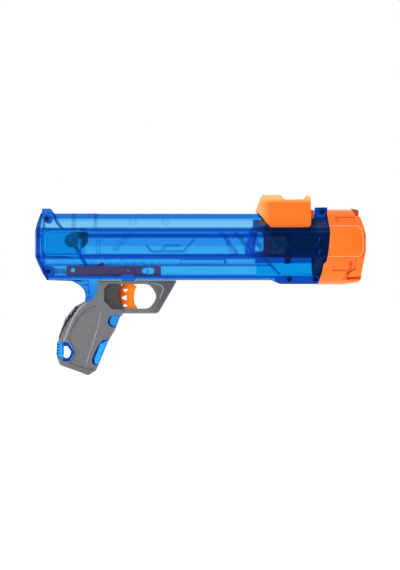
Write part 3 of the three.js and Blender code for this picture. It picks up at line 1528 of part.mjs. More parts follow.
const searSpringTurns = 3;
const searSpringRadius = searPinRadius + springWire + 2 * slipGap;
const searSpringPath = new Helix(
  new THREE.Vector3(searPivotX, -searHalfWidth - searSpringRoom + springRoom, searPivotZ),
  crosswise, lengthwise, searSpringRadius, searSpringRoom - 2 * springRoom, searSpringTurns,
);
addPart('sear_spring', springSolid(searSpringPath, searSpringTurns, springWire), steel());

// Shell screws: pan heads sunk in the right shell, shanks into the left one

shellScrews.forEach(({ name, x, z, face, sink }) => {
  const headFace = -face + sink;
  const head = rodY(screwHeadRadius, headFace, headFace + screwHeadHeight - slipGap / 2, x, z);
  const shank = rodY(screwShankRadius, headFace + slipGap, screwBite, x, z);
  addPart(name, head.add(shank), blackSteel());
});

// The origin moves to the middle of the whole launcher's box.
const whole = new THREE.Box3().setFromObject(launcher);
launcher.position.copy(whole.getCenter(new THREE.Vector3()).negate());
launcher.updateMatrixWorld(true);

export default launcher;
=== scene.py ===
import math

import bmesh
import bpy
import numpy as np
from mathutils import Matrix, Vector


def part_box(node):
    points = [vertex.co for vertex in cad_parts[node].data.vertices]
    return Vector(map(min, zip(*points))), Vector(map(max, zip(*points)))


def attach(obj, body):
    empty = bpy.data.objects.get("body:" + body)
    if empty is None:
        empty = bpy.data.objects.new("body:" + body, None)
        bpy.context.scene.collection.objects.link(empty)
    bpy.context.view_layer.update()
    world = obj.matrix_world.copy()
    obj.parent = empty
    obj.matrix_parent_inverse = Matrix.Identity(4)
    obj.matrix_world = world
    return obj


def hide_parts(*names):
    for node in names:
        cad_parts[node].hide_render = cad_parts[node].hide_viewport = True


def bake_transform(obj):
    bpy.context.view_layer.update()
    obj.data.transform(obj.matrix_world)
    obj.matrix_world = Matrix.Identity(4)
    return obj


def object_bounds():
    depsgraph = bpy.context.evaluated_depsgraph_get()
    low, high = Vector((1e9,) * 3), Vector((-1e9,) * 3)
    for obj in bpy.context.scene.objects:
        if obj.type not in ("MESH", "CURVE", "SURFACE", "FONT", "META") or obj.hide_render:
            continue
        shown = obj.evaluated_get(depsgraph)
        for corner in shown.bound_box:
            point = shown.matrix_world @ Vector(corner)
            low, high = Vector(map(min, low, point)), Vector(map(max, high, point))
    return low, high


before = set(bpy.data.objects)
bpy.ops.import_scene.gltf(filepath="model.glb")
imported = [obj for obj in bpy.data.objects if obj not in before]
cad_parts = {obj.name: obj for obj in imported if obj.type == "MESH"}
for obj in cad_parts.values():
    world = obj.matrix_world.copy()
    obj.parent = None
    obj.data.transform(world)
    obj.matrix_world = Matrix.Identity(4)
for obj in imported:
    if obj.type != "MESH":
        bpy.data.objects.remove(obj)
cad_low, cad_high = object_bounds()


# Camera and studio. The launcher is seen square from its right side, from far off, as in a
# catalogue picture: a white room with soft lamps above, in front and behind.
middle = (cad_low + cad_high) / 2
frame_height = 0.7068
long_lens = 150.0
film_side = 36.0

camera_data = bpy.data.cameras.new("camera")
camera_data.lens = long_lens
camera_data.sensor_width = film_side
camera_data.clip_end = 50.0
camera = bpy.data.objects.new("camera", camera_data)
camera.location = middle + Vector((0, -frame_height * long_lens / film_side, 0))
camera.rotation_euler = (math.radians(90), 0, 0)
bpy.context.scene.collection.objects.link(camera)
bpy.context.scene.camera = camera
bpy.context.scene.view_settings.view_transform = "Standard"


def soft_lamp(name, place, width, power):
    """A square lamp at a place round the object that faces the object's middle."""
    light = bpy.data.lights.new(name, "AREA")
    light.size = width
    light.energy = power
    lamp = bpy.data.objects.new(name, light)
    lamp.location = middle + Vector(place)
    lamp.rotation_euler = (-Vector(place)).to_track_quat("-Z", "Y").to_euler()
    bpy.context.scene.collection.objects.link(lamp)


soft_lamp("lamp_above", (-0.35, -0.3, 1.3), width=0.9, power=10.0)
soft_lamp("lamp_front", (-0.7, -1.5, 0.5), width=0.9, power=9.0)
soft_lamp("lamp_behind", (0.5, 1.5, 0.7), width=0.9, power=8.0)


def joined(tree, operation, first, second=0.0):
    """One sum on two values, each a number or a node's output."""
    node = tree.nodes.new("ShaderNodeMath")
    node.operation = operation
    for socket, value in zip(node.inputs, (first, second)):
        if isinstance(value, (int, float)):
            socket.default_value = value
        else:
            tree.links.new(value, socket)
    return node.outputs[0]


def shown_white(tree):
    """1 to the camera, to mirrors and through glass, and 0 for all other light."""
    path = tree.nodes.new("ShaderNodeLightPath")
    sees = joined(tree, "MAXIMUM", path.outputs["Is Camera Ray"], path.outputs["Is Transmission Ray"])
    return joined(tree, "MAXIMUM", sees, path.outputs["Is Glossy Ray"])


world = bpy.data.worlds.new("white_room")
world.use_nodes = True
bpy.context.scene.world = world
room = world.node_tree
room.nodes.clear()
room_light = room.nodes.new("ShaderNodeBackground")
room_light.inputs["Color"].default_value = (1, 1, 1, 1)
room_light.inputs["Strength"].default_value = 0.5
room_seen = room.nodes.new("ShaderNodeBackground")
room_seen.inputs["Color"].default_value = (1, 1, 1, 1)
room_seen.inputs["Strength"].default_value = 1.0
room_mix = room.nodes.new("ShaderNodeMixShader")
room_out = room.nodes.new("ShaderNodeOutputWorld")
room.links.new(shown_white(room), room_mix.inputs["Fac"])
room.links.new(room_light.outputs[0], room_mix.inputs[1])
room.links.new(room_seen.outputs[0], room_mix.inputs[2])
room.links.new(room_mix.outputs[0], room_out.inputs["Surface"])

floor_size = 12.0
floor_mesh = bpy.data.meshes.new("floor")
half = floor_size / 2
corners = [(-half, -half), (half, -half), (half, half), (-half, half)]
floor_mesh.from_pydata([(x, y, cad_low.z) for x, y in corners], [], [(0, 1, 2, 3)])
floor = bpy.data.objects.new("floor", floor_mesh)
bpy.context.scene.collection.objects.link(floor)
floor_paint = bpy.data.materials.new("floor_paint")
floor_paint.use_nodes = True
floor_tree = floor_paint.node_tree
floor_tree.nodes.clear()
floor_matt = floor_tree.nodes.new("ShaderNodeBsdfDiffuse")
floor_matt.inputs["Color"].default_value = (0.9, 0.9, 0.9, 1)
floor_glow = floor_tree.nodes.new("ShaderNodeEmission")
floor_glow.inputs["Color"].default_value = (1, 1, 1, 1)
floor_glow.inputs["Strength"].default_value = 0.55
floor_sum = floor_tree.nodes.new("ShaderNodeAddShader")
floor_out = floor_tree.nodes.new("ShaderNodeOutputMaterial")
floor_tree.links.new(floor_matt.outputs[0], floor_sum.inputs[0])
floor_tree.links.new(floor_glow.outputs[0], floor_sum.inputs[1])
floor_tree.links.new(floor_sum.outputs[0], floor_out.inputs["Surface"])
floor_mesh.materials.append(floor_paint)


# Housing shells. Two halves moulded in clear blue plastic and screwed together on the middle
# plane, with the barrel, the side cheeks with their rails, the grip's core and the loop in one.
def moulded_copy(node, name, edge):
    """A solid's own faces, their loose corners joined and flat faces made whole, with every edge
    that turns by more than the sharp angle rounded over by edge metres."""
    join_distance, flat_angle, sharp_angle = 2e-6, math.radians(0.6), math.radians(28)
    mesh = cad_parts[node].data.copy()
    mesh.name = name
    work = bmesh.new()
    work.from_mesh(mesh)
    bmesh.ops.remove_doubles(work, verts=work.verts, dist=join_distance)
    bmesh.ops.dissolve_limit(work, angle_limit=flat_angle, verts=work.verts, edges=work.edges)
    work.to_mesh(mesh)
    work.free()
    for spare in ("custom_normal", "sharp_face", "sharp_edge"):
        if spare in mesh.attributes:
            mesh.attributes.remove(mesh.attributes[spare])
    mesh.materials.clear()
    mesh.shade_smooth()
    mesh.set_sharp_from_angle(angle=sharp_angle)
    piece = bpy.data.objects.new(name, mesh)
    bpy.context.scene.collection.objects.link(piece)
    if edge > 0:
        rounding = piece.modifiers.new("rounded_edges", "BEVEL")
        rounding.width = edge
        rounding.segments = 2
        rounding.limit_method = "ANGLE"
        rounding.angle_limit = sharp_angle
        rounding.use_clamp_overlap = True
        rounding.harden_normals = False
    return piece


def place_copy(node, name, material, body, edge=0.0003):
    """A rounded copy of a solid that takes its place, rides its body and carries its finish."""
    piece = moulded_copy(node, name, edge)
    piece.data.materials.append(material)
    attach(piece, body)
    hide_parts(node)


def moulded_skin():
    """The skin of a moulding: a fine grain as a bump, and a slow drift in its gloss."""
    group = bpy.data.node_groups.new("moulded_skin", "ShaderNodeTree")
    for name in ("Grain Size", "Grain Depth", "Roughness", "Drift"):
        group.interface.new_socket(name, in_out="INPUT", socket_type="NodeSocketFloat")
    group.interface.new_socket("Roughness", in_out="OUTPUT", socket_type="NodeSocketFloat")
    group.interface.new_socket("Normal", in_out="OUTPUT", socket_type="NodeSocketVector")
    given = group.nodes.new("NodeGroupInput")
    made = group.nodes.new("NodeGroupOutput")
    place = group.nodes.new("ShaderNodeTexCoord")
    grain = group.nodes.new("ShaderNodeTexNoise")
    grain.inputs["Detail"].default_value = 2.0
    bump = group.nodes.new("ShaderNodeBump")
    bump.inputs["Strength"].default_value = 1.0
    drift = group.nodes.new("ShaderNodeTexNoise")
    drift.inputs["Scale"].default_value = 45.0
    fineness = joined(group, "DIVIDE", 1.0, given.outputs["Grain Size"])
    group.links.new(place.outputs["Object"], grain.inputs["Vector"])
    group.links.new(fineness, grain.inputs["Scale"])
    group.links.new(grain.outputs[0], bump.inputs["Height"])
    group.links.new(given.outputs["Grain Depth"], bump.inputs["Distance"])
    group.links.new(place.outputs["Object"], drift.inputs["Vector"])
    centred = joined(group, "SUBTRACT", drift.outputs[0], 0.5)
    spread = joined(group, "MULTIPLY", centred, given.outputs["Drift"])
    roughness = joined(group, "ADD", spread, given.outputs["Roughness"])
    group.links.new(roughness, made.inputs["Roughness"])
    group.links.new(bump.outputs[0], made.inputs["Normal"])
    return group


skin_group = moulded_skin()


def skin(tree, shader, grain_size, grain_depth, roughness, drift=0.06):
    """Puts the moulded skin with its own sizes in front of a shader."""
    node = tree.nodes.new("ShaderNodeGroup")
    node.node_tree = skin_group
    node.inputs["Grain Size"].default_value = grain_size
    node.inputs["Grain Depth"].default_value = grain_depth
    node.inputs["Roughness"].default_value = roughness
    node.inputs["Drift"].default_value = drift
    tree.links.new(node.outputs["Roughness"], shader.inputs["Roughness"])
    tree.links.new(node.outputs["Normal"], shader.inputs["Normal"])


def stretched(tree, value, start, end, first=0.0, last=1.0):
    """The value's place between start and end, clamped there, as a value from first to last."""
    ramp = tree.nodes.new("ShaderNodeMapRange")
    ramp.inputs["From Min"].default_value = start
    ramp.inputs["From Max"].default_value = end
    ramp.inputs["To Min"].default_value = first
    ramp.inputs["To Max"].default_value = last
    tree.links.new(value, ramp.inputs["Value"])
    return ramp.outputs[0]


def painted(tree, under, over, mask):
    """One colour turned into another by a mask. Each is a colour or a node's output."""
    paint = tree.nodes.new("ShaderNodeMix")
    paint.data_type = "RGBA"
    for socket, value in (("A", under), ("B", over)):
        if isinstance(value, tuple):
            paint.inputs[socket].default_value = value
        else:
            tree.links.new(value, paint.inputs[socket])
    tree.links.new(mask, paint.inputs["Factor"])
    return paint.outputs["Result"]


def grouped(tree, group):
    """The first value that a node group gives."""
    node = tree.nodes.new("ShaderNodeGroup")
    node.node_tree = group
    return node.outputs[0]


def split(tree, point):
    """The x, y and z of a point."""
    parts = tree.nodes.new("ShaderNodeSeparateXYZ")
    tree.links.new(point, parts.inputs[0])
    return parts.outputs


def mask_group(name, result="Mask"):
    """A new node group for one value, with the point in the object and the node that takes the
    value."""
    group = bpy.data.node_groups.new(name, "ShaderNodeTree")
    group.interface.new_socket(result, in_out="OUTPUT", socket_type="NodeSocketFloat")
    place = group.nodes.new("ShaderNodeTexCoord")
    return group, place.outputs["Object"], group.nodes.new("NodeGroupOutput")


sleeve_low, sleeve_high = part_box("chamber_sleeve")
bore = (sleeve_low.z + sleeve_high.z) / 2
rear = cad_low.x


def height_bands():
    """How much plastic the eye looks through, 0 to 1, by the height over the bore: deep at the rails,
    the rims and the floor, and thin between them. A strip just below the trigger bar is made deep
    too, as painted shade where the bar's shadow falls."""
    group, point, made = mask_group("height_bands", "Depth")
    reach = 0.1
    share = stretched(group, split(group, point)["Z"], bore - reach, bore + reach)
    ramp = group.nodes.new("ShaderNodeValToRGB")
    group.links.new(share, ramp.inputs[0])
    group.links.new(ramp.outputs["Color"], made.inputs["Depth"])
    grip_core = ((-0.0700, 0.36), (-0.0660, 0.50), (-0.0445, 0.35), (-0.0395, 0.30))
    # Painted shade: this strip just below the trigger bar is made deep to stand for the bar's shadow.
    bar_shadow_strip = ((-0.0388, 0.75), (-0.0366, 0.75))
    lower_side = ((-0.0352, 0.30), (-0.0335, 0.25), (-0.0250, 0.25))
    ledge = ((-0.0236, 0.38), (-0.0190, 0.38), (-0.0182, 0.26), (-0.0165, 0.26))
    lower_rail = ((-0.0155, 0.60), (-0.0135, 0.72), (-0.0128, 0.85), (-0.0100, 0.85))
    cheek = ((-0.0090, 0.30), (-0.0080, 0.27), (0.0000, 0.27), (0.0010, 0.40), (0.0110, 0.42))
    upper_rail = ((0.0122, 1.00), (0.0156, 1.00), (0.0166, 0.30), (0.0180, 0.25))
    cheek_rim = ((0.0190, 0.90), (0.0220, 0.90))
    barrel_wall = ((0.0232, 0.00), (0.0345, 0.00))
    crown = ((0.0365, 0.50), (0.0410, 0.55))
    stops = (
        *grip_core, *bar_shadow_strip, *lower_side, *ledge, *lower_rail, *cheek, *upper_rail,
        *cheek_rim, *barrel_wall, *crown,
    )
    places = [(z + reach) / (2 * reach) for z, _ in stops]
    ramp.color_ramp.elements[0].position = places[0]
    ramp.color_ramp.elements[0].color = (stops[0][1],) * 3 + (1,)
    ramp.color_ramp.elements[1].position = places[-1]
    ramp.color_ramp.elements[1].color = (stops[-1][1],) * 3 + (1,)
    for at, (_, depth) in zip(places[1:-1], stops[1:-1]):
        stop = ramp.color_ramp.elements.new(at)
        stop.color = (depth,) * 3 + (1,)
    return group


def mould_marks():
    """Extra depth where the mould left the shells thicker, 0 to 1: rings where pins pushed the
    shell out, |distance from a ring's middle - its radius| < width / 2, discs round the screws,
    short slanted ribs on the floor, fraction of (x + lean z) / pitch < width / pitch, and boxes
    for the socket's rim, the keel, the post and the dark zone in front, and for the lanyard
    loop's frame."""
    group, point, made = mask_group("mould_marks", "Depth")
    parts = split(group, point)
    along, height = parts["X"], parts["Z"]

    def distance(x, z):
        across = joined(group, "SUBTRACT", along, rear + x)
        up = joined(group, "SUBTRACT", height, bore + z)
        squares = [joined(group, "MULTIPLY", side, side) for side in (across, up)]
        return joined(group, "SQRT", joined(group, "ADD", *squares))

    def within(start, end, low, high):
        mask = 1.0
        sides = ((along, rear + start, rear + end), (height, bore + low, bore + high))
        for value, least, most in sides:
            mask = joined(group, "MULTIPLY", mask, joined(group, "GREATER_THAN", value, least))
            mask = joined(group, "MULTIPLY", mask, joined(group, "LESS_THAN", value, most))
        return mask

    marks = []
    ring_radius, ring_width, ring_depth = 0.0041, 0.0004, 0.45
    for x, z in ((0.1193, 0.0311), (0.1602, 0.0311)):
        off = joined(group, "SUBTRACT", distance(x, z), ring_radius)
        ring = joined(group, "LESS_THAN", joined(group, "ABSOLUTE", off), ring_width / 2)
        marks.append((ring, ring_depth))
    disc_depth = 0.8
    for x, z, radius in (
        (0.0134, 0.0342, 0.0052), (0.0154, -0.0308, 0.0067), (0.3123, -0.0382, 0.0042),
        (0.3458, -0.0382, 0.0042), (0.3550, 0.0479, 0.0046),
    ):
        marks.append((joined(group, "LESS_THAN", distance(x, z), radius), disc_depth))

    pitch, rib_width, lean, rib_depth = 0.0104, 0.0011, 0.7, 0.85
    slanted = joined(group, "ADD", along, joined(group, "MULTIPLY", height, lean))
    step = joined(group, "FRACT", joined(group, "DIVIDE", slanted, pitch))
    rib = joined(group, "LESS_THAN", step, rib_width / pitch)
    floor_strip = within(0.0645, 0.1545, -0.0236, -0.0196)
    marks.append((joined(group, "MULTIPLY", rib, floor_strip), rib_depth))

    socket_rim = (0.2710, 0.3450, -0.0205, -0.0128, 0.95)
    keel = (0.2950, 0.3640, -0.0480, -0.0345, 0.85)
    front_post = (0.3430, 0.3640, 0.0345, 0.0600, 1.0)
    dark_zone = (0.3080, 0.3640, -0.0128, 0.0165, 0.95)
    loop_frame = (0.0330, 0.0500, -0.1500, -0.1165, 1.0)
    for start, end, low, high, depth in (socket_rim, keel, front_post, dark_zone, loop_frame):
        marks.append((within(start, end, low, high), depth))

    deepest = 0.0
    for mask, depth in marks:
        deepest = joined(group, "MAXIMUM", deepest, joined(group, "MULTIPLY", mask, depth))
    group.links.new(deepest, made.inputs["Depth"])
    return group


def soft_box(tree, sides, soft):
    """1 in a box and 0 outside it, with soft ends. A side is a coordinate and its two ends."""
    mask = 1.0
    for value, low, high in sides:
        for end, inward in ((low, soft), (high, -soft)):
            mask = joined(tree, "MULTIPLY", mask, stretched(tree, value, end, end + inward))
    return mask


def cyan_zones():
    """1 where the two shells show cyan and 0 elsewhere: a box behind the badge plates and one
    under the front socket."""
    group, point, made = mask_group("cyan_zones")
    parts = split(group, point)
    badge_zone, socket_zone = (0.0050, 0.0567, -0.0129, 0.0222), (0.2720, 0.3430, -0.0365, -0.0205)
    zones = 0.0
    for start, end, bottom, top in (badge_zone, socket_zone):
        sides = ((parts["X"], rear + start, rear + end), (parts["Z"], bore + bottom, bore + top))
        zones = joined(group, "MAXIMUM", zones, soft_box(group, sides, soft=0.0008))
    group.links.new(zones, made.inputs["Mask"])
    return group


def drawn_lines(name, lines):
    """1 on lines seen from the side and 0 elsewhere. A line is its width and its points (x, z)
    from the rear and the bore. With p from a stretch's start and d along the stretch, its
    distance is |p - clamp(p . d / d . d) d|."""
    group, point, made = mask_group(name)

    def vectors(operation, first, second, socket=1):
        node = group.nodes.new("ShaderNodeVectorMath")
        node.operation = operation
        for at, value in ((0, first), (socket, second)):
            if isinstance(value, (tuple, Vector)):
                node.inputs[at].default_value = value
            else:
                group.links.new(value, node.inputs[at])
        return node.outputs

    flat = vectors("MULTIPLY", point, (1, 0, 1))["Vector"]
    mask = 0.0
    for width, *points in lines:
        for (x, z), (next_x, next_z) in zip(points, points[1:]):
            run = Vector((next_x - x, 0, next_z - z))
            offset = vectors("SUBTRACT", flat, (rear + x, 0, bore + z))["Vector"]
            along = vectors("DOT_PRODUCT", offset, run / run.length_squared)["Value"]
            share = stretched(group, along, 0.0, 1.0)
            nearest = vectors("SCALE", run, share, "Scale")["Vector"]
            distance = vectors("DISTANCE", offset, nearest)["Value"]
            line = stretched(group, distance, width / 2, width / 3)
            mask = joined(group, "MAXIMUM", mask, line)
    group.links.new(mask, made.inputs["Mask"])
    return group


def edge_lines():
    """1 along the edges of a moulding and 0 on its faces: the surface's normal, averaged over a
    small circle, leans away from the normal at the point where an edge runs through the circle."""
    group = bpy.data.node_groups.new("edge_lines", "ShaderNodeTree")
    width = group.interface.new_socket("Width", in_out="INPUT", socket_type="NodeSocketFloat")
    width.default_value = 0.0011
    group.interface.new_socket("Line", in_out="OUTPUT", socket_type="NodeSocketFloat")
    given = group.nodes.new("NodeGroupInput")
    made = group.nodes.new("NodeGroupOutput")
    rounded = group.nodes.new("ShaderNodeBevel")
    rounded.samples = 6
    straight = group.nodes.new("ShaderNodeNewGeometry")
    agree = group.nodes.new("ShaderNodeVectorMath")
    agree.operation = "DOT_PRODUCT"
    group.links.new(given.outputs["Width"], rounded.inputs["Radius"])
    group.links.new(rounded.outputs["Normal"], agree.inputs[0])
    group.links.new(straight.outputs["Normal"], agree.inputs[1])
    line_starts, line_full = 0.985, 0.9
    line = stretched(group, agree.outputs["Value"], line_starts, line_full)
    group.links.new(line, made.inputs["Line"])
    return group


edge_group = edge_lines()


def clear_plastic(
    name, body, tints, line, share, line_share, groups=(), zone=None, zone_tint=None, drawn=None
):
    """Clear plastic as a thin coloured body over a tinted window. The window is deeper in tint
    where more plastic lies in the line of sight, and deepest along the edges, where the plastic
    bends the light away. Lamps shine through it almost untinted."""
    material = bpy.data.materials.new(name)
    material.use_nodes = True
    tree = material.node_tree
    shader = tree.nodes["Principled BSDF"]
    shader.inputs["Base Color"].default_value = body
    shader.inputs["IOR"].default_value = 1.49
    skin(tree, shader, grain_size=0.0006, grain_depth=0.000004, roughness=0.13, drift=0.05)
    facing = tree.nodes.new("ShaderNodeLayerWeight")
    facing.inputs["Blend"].default_value = 0.5
    rim_starts, rim_full = 0.45, 0.9
    depth = stretched(tree, facing.outputs["Facing"], rim_starts, rim_full)
    for group in groups:
        depth = joined(tree, "MAXIMUM", depth, grouped(tree, group))
    tint = tree.nodes.new("ShaderNodeValToRGB")
    tint.color_ramp.elements[0].color = tints[0][1]
    tint.color_ramp.elements[1].color = tints[-1][1]
    for at, colour in tints[1:-1]:
        tint.color_ramp.elements.new(at).color = colour
    tree.links.new(depth, tint.inputs[0])
    shade = tint.outputs["Color"]
    if zone is not None:
        shade = painted(tree, shade, zone_tint, grouped(tree, zone))
    dark = grouped(tree, edge_group)
    if drawn is not None:
        dark = joined(tree, "MAXIMUM", dark, grouped(tree, drawn))
    outlined = painted(tree, shade, line, dark)
    path = tree.nodes.new("ShaderNodeLightPath")
    lamp_tint = (0.86, 0.94, 0.98, 1)
    lit = painted(tree, outlined, lamp_tint, path.outputs["Is Shadow Ray"])
    window = tree.nodes.new("ShaderNodeBsdfTransparent")
    tree.links.new(lit, window.inputs["Color"])
    mix = tree.nodes.new("ShaderNodeMixShader")
    tree.links.new(stretched(tree, dark, 0.0, 1.0, share, line_share), mix.inputs["Fac"])
    tree.links.new(window.outputs[0], mix.inputs[1])
    tree.links.new(shader.outputs[0], mix.inputs[2])
    tree.links.new(mix.outputs[0], tree.nodes["Material Output"].inputs["Surface"])
    return material


fin_line = (
    0.0013, (0.0186, 0.0465), (0.0211, 0.0384), (0.0248, 0.0310), (0.0285, 0.0254),
    (0.0329, 0.0223),
)
rear_outline = (0.0020, (0.0070, 0.0465), (0.0010, 0.0215), (0.0010, -0.0120), (0.0135, -0.0405))
badge_outline = (
    0.0012, (0.0584, 0.0220), (0.0136, 0.0220), (0.0087, 0.0192), (0.0062, 0.0149),
    (0.0059, -0.0037), (0.0074, -0.0087), (0.0112, -0.0118), (0.0161, -0.0128), (0.0409, -0.0128),
)
cheek_top, cheek_bottom, cheek_lean = 0.0195, -0.0088, 0.0221
cheek_lines = [
    (0.0008, (x, cheek_top), (x + cheek_lean, cheek_bottom))
    for x in (0.2260, 0.2453, 0.2626, 0.2793)
]
lower_slant = (0.0007, (0.2820, -0.0148), (0.3013, -0.0341))
slot_end = (0.0007, (0.2330, -0.0160), (0.2330, -0.0205))
window_rims = [
    (0.0032, (0.0922, -0.0846), (0.0886, -0.0910), (0.0893, -0.0965), (0.0935, -0.0997)),
    (0.0034, (0.0860, -0.1150), (0.0771, -0.1201), (0.0729, -0.1316), (0.0693, -0.1401),
     (0.0707, -0.1462)),
]
rib_start, rib_end = 0.0240, 0.0282
loop_ribs = [(0.0012, (rib_start, z), (rib_end, z)) for z in (-0.1215, -0.1251, -0.1287, -0.1323)]
loop_foot = (0.0030, (0.0250, -0.1390), (0.0310, -0.1425))
housing_lines = drawn_lines("housing_lines", (
    fin_line, rear_outline, badge_outline, *cheek_lines, lower_slant, slot_end, *window_rims,
    *loop_ribs, loop_foot,
))
clear_blue = clear_plastic(
    "clear_blue",
    body=(0.012, 0.2, 0.78, 1),
    tints=(
        (0.0, (0.67, 0.87, 0.968, 1)),
        (0.25, (0.46, 0.81, 0.966, 1)),
        (0.42, (0.38, 0.72, 0.945, 1)),
        (0.85, (0.27, 0.53, 0.85, 1)),
        (1.0, (0.18, 0.49, 0.8, 1)),
    ),
    line=(0.04, 0.16, 0.52, 1),
    share=0.022,
    line_share=0.12,
    groups=(height_bands(), mould_marks()),
    zone=cyan_zones(),
    zone_tint=(0.2, 0.745, 0.94, 1),
    drawn=housing_lines,
)
for side in ("right", "left"):
    place_copy(f"shell_{side}", f"housing_{side}", clear_blue, "housing", edge=0.0)


# Badge plates. A bare rounded plate of clear cyan plastic, let into each side behind the cheeks.
clear_cyan = clear_plastic(
    "clear_cyan",
    body=(0.0, 0.28, 0.8, 1),
    tints=((0.0, (0.5, 0.97, 0.99, 1)), (1.0, (0.3, 0.8, 0.95, 1))),
    line=(0.03, 0.2, 0.6, 1),
    share=0.07,
    line_share=0.3,
)
for side in ("right", "left"):
    place_copy(f"badge_plate_{side}", f"badge_{side}", clear_cyan, "housing")


# Orange mouldings. The priming handle, the muzzle collar and the carriage come from the same filled
# orange plastic, satin outside, with edges rounded by the mould. Their edges carry a painted
# highlight and their recesses a painted shade. The handle is paler on its crown and its rear slope as
# a painted highlight, and the collar has painted highlight lines along its panel outline and painted
# shade in its steps.
def filled_plastic(
    name, colour, roughness, grain_size=0.0005, grain_depth=0.00001, glow=0.02, gloss=0.5,
    edge_highlight=None, fades=(), hollow_shade=None, reach=0.004, patches=(),
):
    """Opaque moulded plastic: one colour that is a little paler where a slow cloud is bright. It may
    turn to other colours along an axis, to a painted highlight colour along its edges, to a painted
    shade colour where faces nearer than the reach close it in, and to a patch's colour in the patch's
    mask."""
    material = bpy.data.materials.new(name)
    material.use_nodes = True
    tree = material.node_tree
    shader = tree.nodes["Principled BSDF"]
    shader.inputs["IOR"].default_value = 1.45
    shader.inputs["Specular IOR Level"].default_value = gloss
    skin(tree, shader, grain_size, grain_depth, roughness)
    place = tree.nodes.new("ShaderNodeTexCoord")
    cloud = tree.nodes.new("ShaderNodeTexNoise")
    cloud.inputs["Scale"].default_value = 60.0
    cloud.inputs["Detail"].default_value = 3.0
    tree.links.new(place.outputs["Object"], cloud.inputs["Vector"])
    darker = tuple(c * (1 - 2 * glow) for c in colour[:3]) + (1,)
    paler = tuple(min(1.0, c * (1 + 2 * glow)) for c in colour[:3]) + (1,)
    paint = painted(tree, darker, paler, cloud.outputs[0])
    if fades:
        parts = split(tree, place.outputs["Object"])
    for axis, start, end, faded in fades:
        paint = painted(tree, paint, faded, stretched(tree, parts[axis], start, end))
    # Painted highlight: the edge mask turns the colour to the given paler colour along the edges.
    if edge_highlight is not None:
        paint = painted(tree, paint, edge_highlight, grouped(tree, edge_group))
    # Painted shade: ambient occlusion turns the colour darker in recesses, where nearby faces close
    # the surface in.
    if hollow_shade is not None:
        closed = tree.nodes.new("ShaderNodeAmbientOcclusion")
        closed.samples = 8
        closed.only_local = True
        closed.inputs["Distance"].default_value = reach
        still_open, fully_shut = 0.95, 0.35
        shut = stretched(tree, closed.outputs["AO"], still_open, fully_shut)
        paint = painted(tree, paint, hollow_shade, shut)
    for group, patch in patches:
        paint = painted(tree, paint, patch, grouped(tree, group))
    tree.links.new(paint, shader.inputs["Base Color"])
    return material


orange_base = (0.95, 0.16, 0.014, 1)
orange_recess_shade = (0.5, 0.045, 0.006, 1)
# Painted highlight: pale orange lines along the outline of the collar's side panel.
panel_outline_highlight = drawn_lines("panel_outline_highlight", (
    (0.0011, (0.3615, 0.0248), (0.3935, 0.0248), (0.3995, 0.0205), (0.4015, 0.0120),
     (0.4015, -0.0060), (0.3975, -0.0128), (0.3600, -0.0128)),
))
# Painted shade: deep red strokes in the collar's steps, its slot and its lower notch.
step_shades = drawn_lines("step_shades", (
    (0.0050, (0.3870, -0.0200), (0.3870, -0.0280), (0.3820, -0.0380)),
    (0.0012, (0.3690, 0.0368), (0.3690, 0.0312)),
    (0.0030, (0.3780, -0.0405), (0.3990, -0.0375)),
))
orange = filled_plastic(
    "orange_moulding", orange_base, roughness=0.36, gloss=0.15, edge_highlight=(1.0, 0.3, 0.1, 1),
    hollow_shade=orange_recess_shade,
    patches=((step_shades, (0.68, 0.075, 0.01, 1)), (panel_outline_highlight, (1.0, 0.36, 0.15, 1))),
)
# Painted highlight: the handle turns paler towards its rear slope and on its crown.
slope_top, slope_end = rear + 0.2880, rear + 0.2700
crown_low, crown_high = bore + 0.0535, bore + 0.0585
handle_orange = filled_plastic(
    "orange_saddle", orange_base, roughness=0.36, gloss=0.15, edge_highlight=(1.0, 0.3, 0.1, 1),
    hollow_shade=orange_recess_shade,
    fades=(
        ("X", slope_top, slope_end, (1.0, 0.45, 0.16, 1)),
        ("Z", crown_low, crown_high, (1.0, 0.42, 0.15, 1)),
    ),
)
place_copy("muzzle_collar", "muzzle_petals", orange, "housing", edge=0.0005)
place_copy("priming_handle", "priming_saddle", handle_orange, "handle", edge=0.0006)
place_copy("handle_carriage", "carriage", orange, "handle")


# Chamber sleeve. A dark plum tube that holds the ball inside the front of the barrel.
plum = filled_plastic("plum_moulding", (0.06, 0.012, 0.05, 1), roughness=0.4)
place_copy("chamber_sleeve", "ball_chamber", plum, "housing")


# The red train. The trigger bar and the retainer's hooked ring are red mouldings that show purple
# through the blue. The pusher is blue at its rear end and turns dark red ahead of it.
red = filled_plastic("red_moulding", (0.5, 0.05, 0.014, 1), roughness=0.4)
place_copy("ball_retainer", "hooked_ring", red, "housing")
bar_red = filled_plastic("red_bar", (0.95, 0.08, 0.09, 1), roughness=0.4, gloss=0.3)
place_copy("trigger_bar", "trigger_link", bar_red, "trigger", edge=0.0002)
pusher_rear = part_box("pusher")[0].x
turn_starts, turn_ends = pusher_rear + 0.004, pusher_rear + 0.026
pusher_red = filled_plastic(
    "red_pusher", (0.08, 0.2, 0.6, 1), roughness=0.4, gloss=0.3,
    fades=(("X", turn_starts, turn_ends, (0.14, 0.01, 0.04, 1)),),
)
place_copy("pusher", "pusher_frame", pusher_red, "pusher")


# Sear. A dark hub with an arm that ends in a pointed nose, and a bluer leg that goes down to the
# trigger bar.
leg_starts, leg_full = bore - 0.002, bore - 0.008
dark = filled_plastic(
    "dark_moulding", (0.01, 0.1, 0.09, 1), roughness=0.4, gloss=0.3,
    fades=(("Z", leg_starts, leg_full, (0.03, 0.33, 0.8, 1)),),
)
place_copy("sear", "sear_hook", dark, "sear")
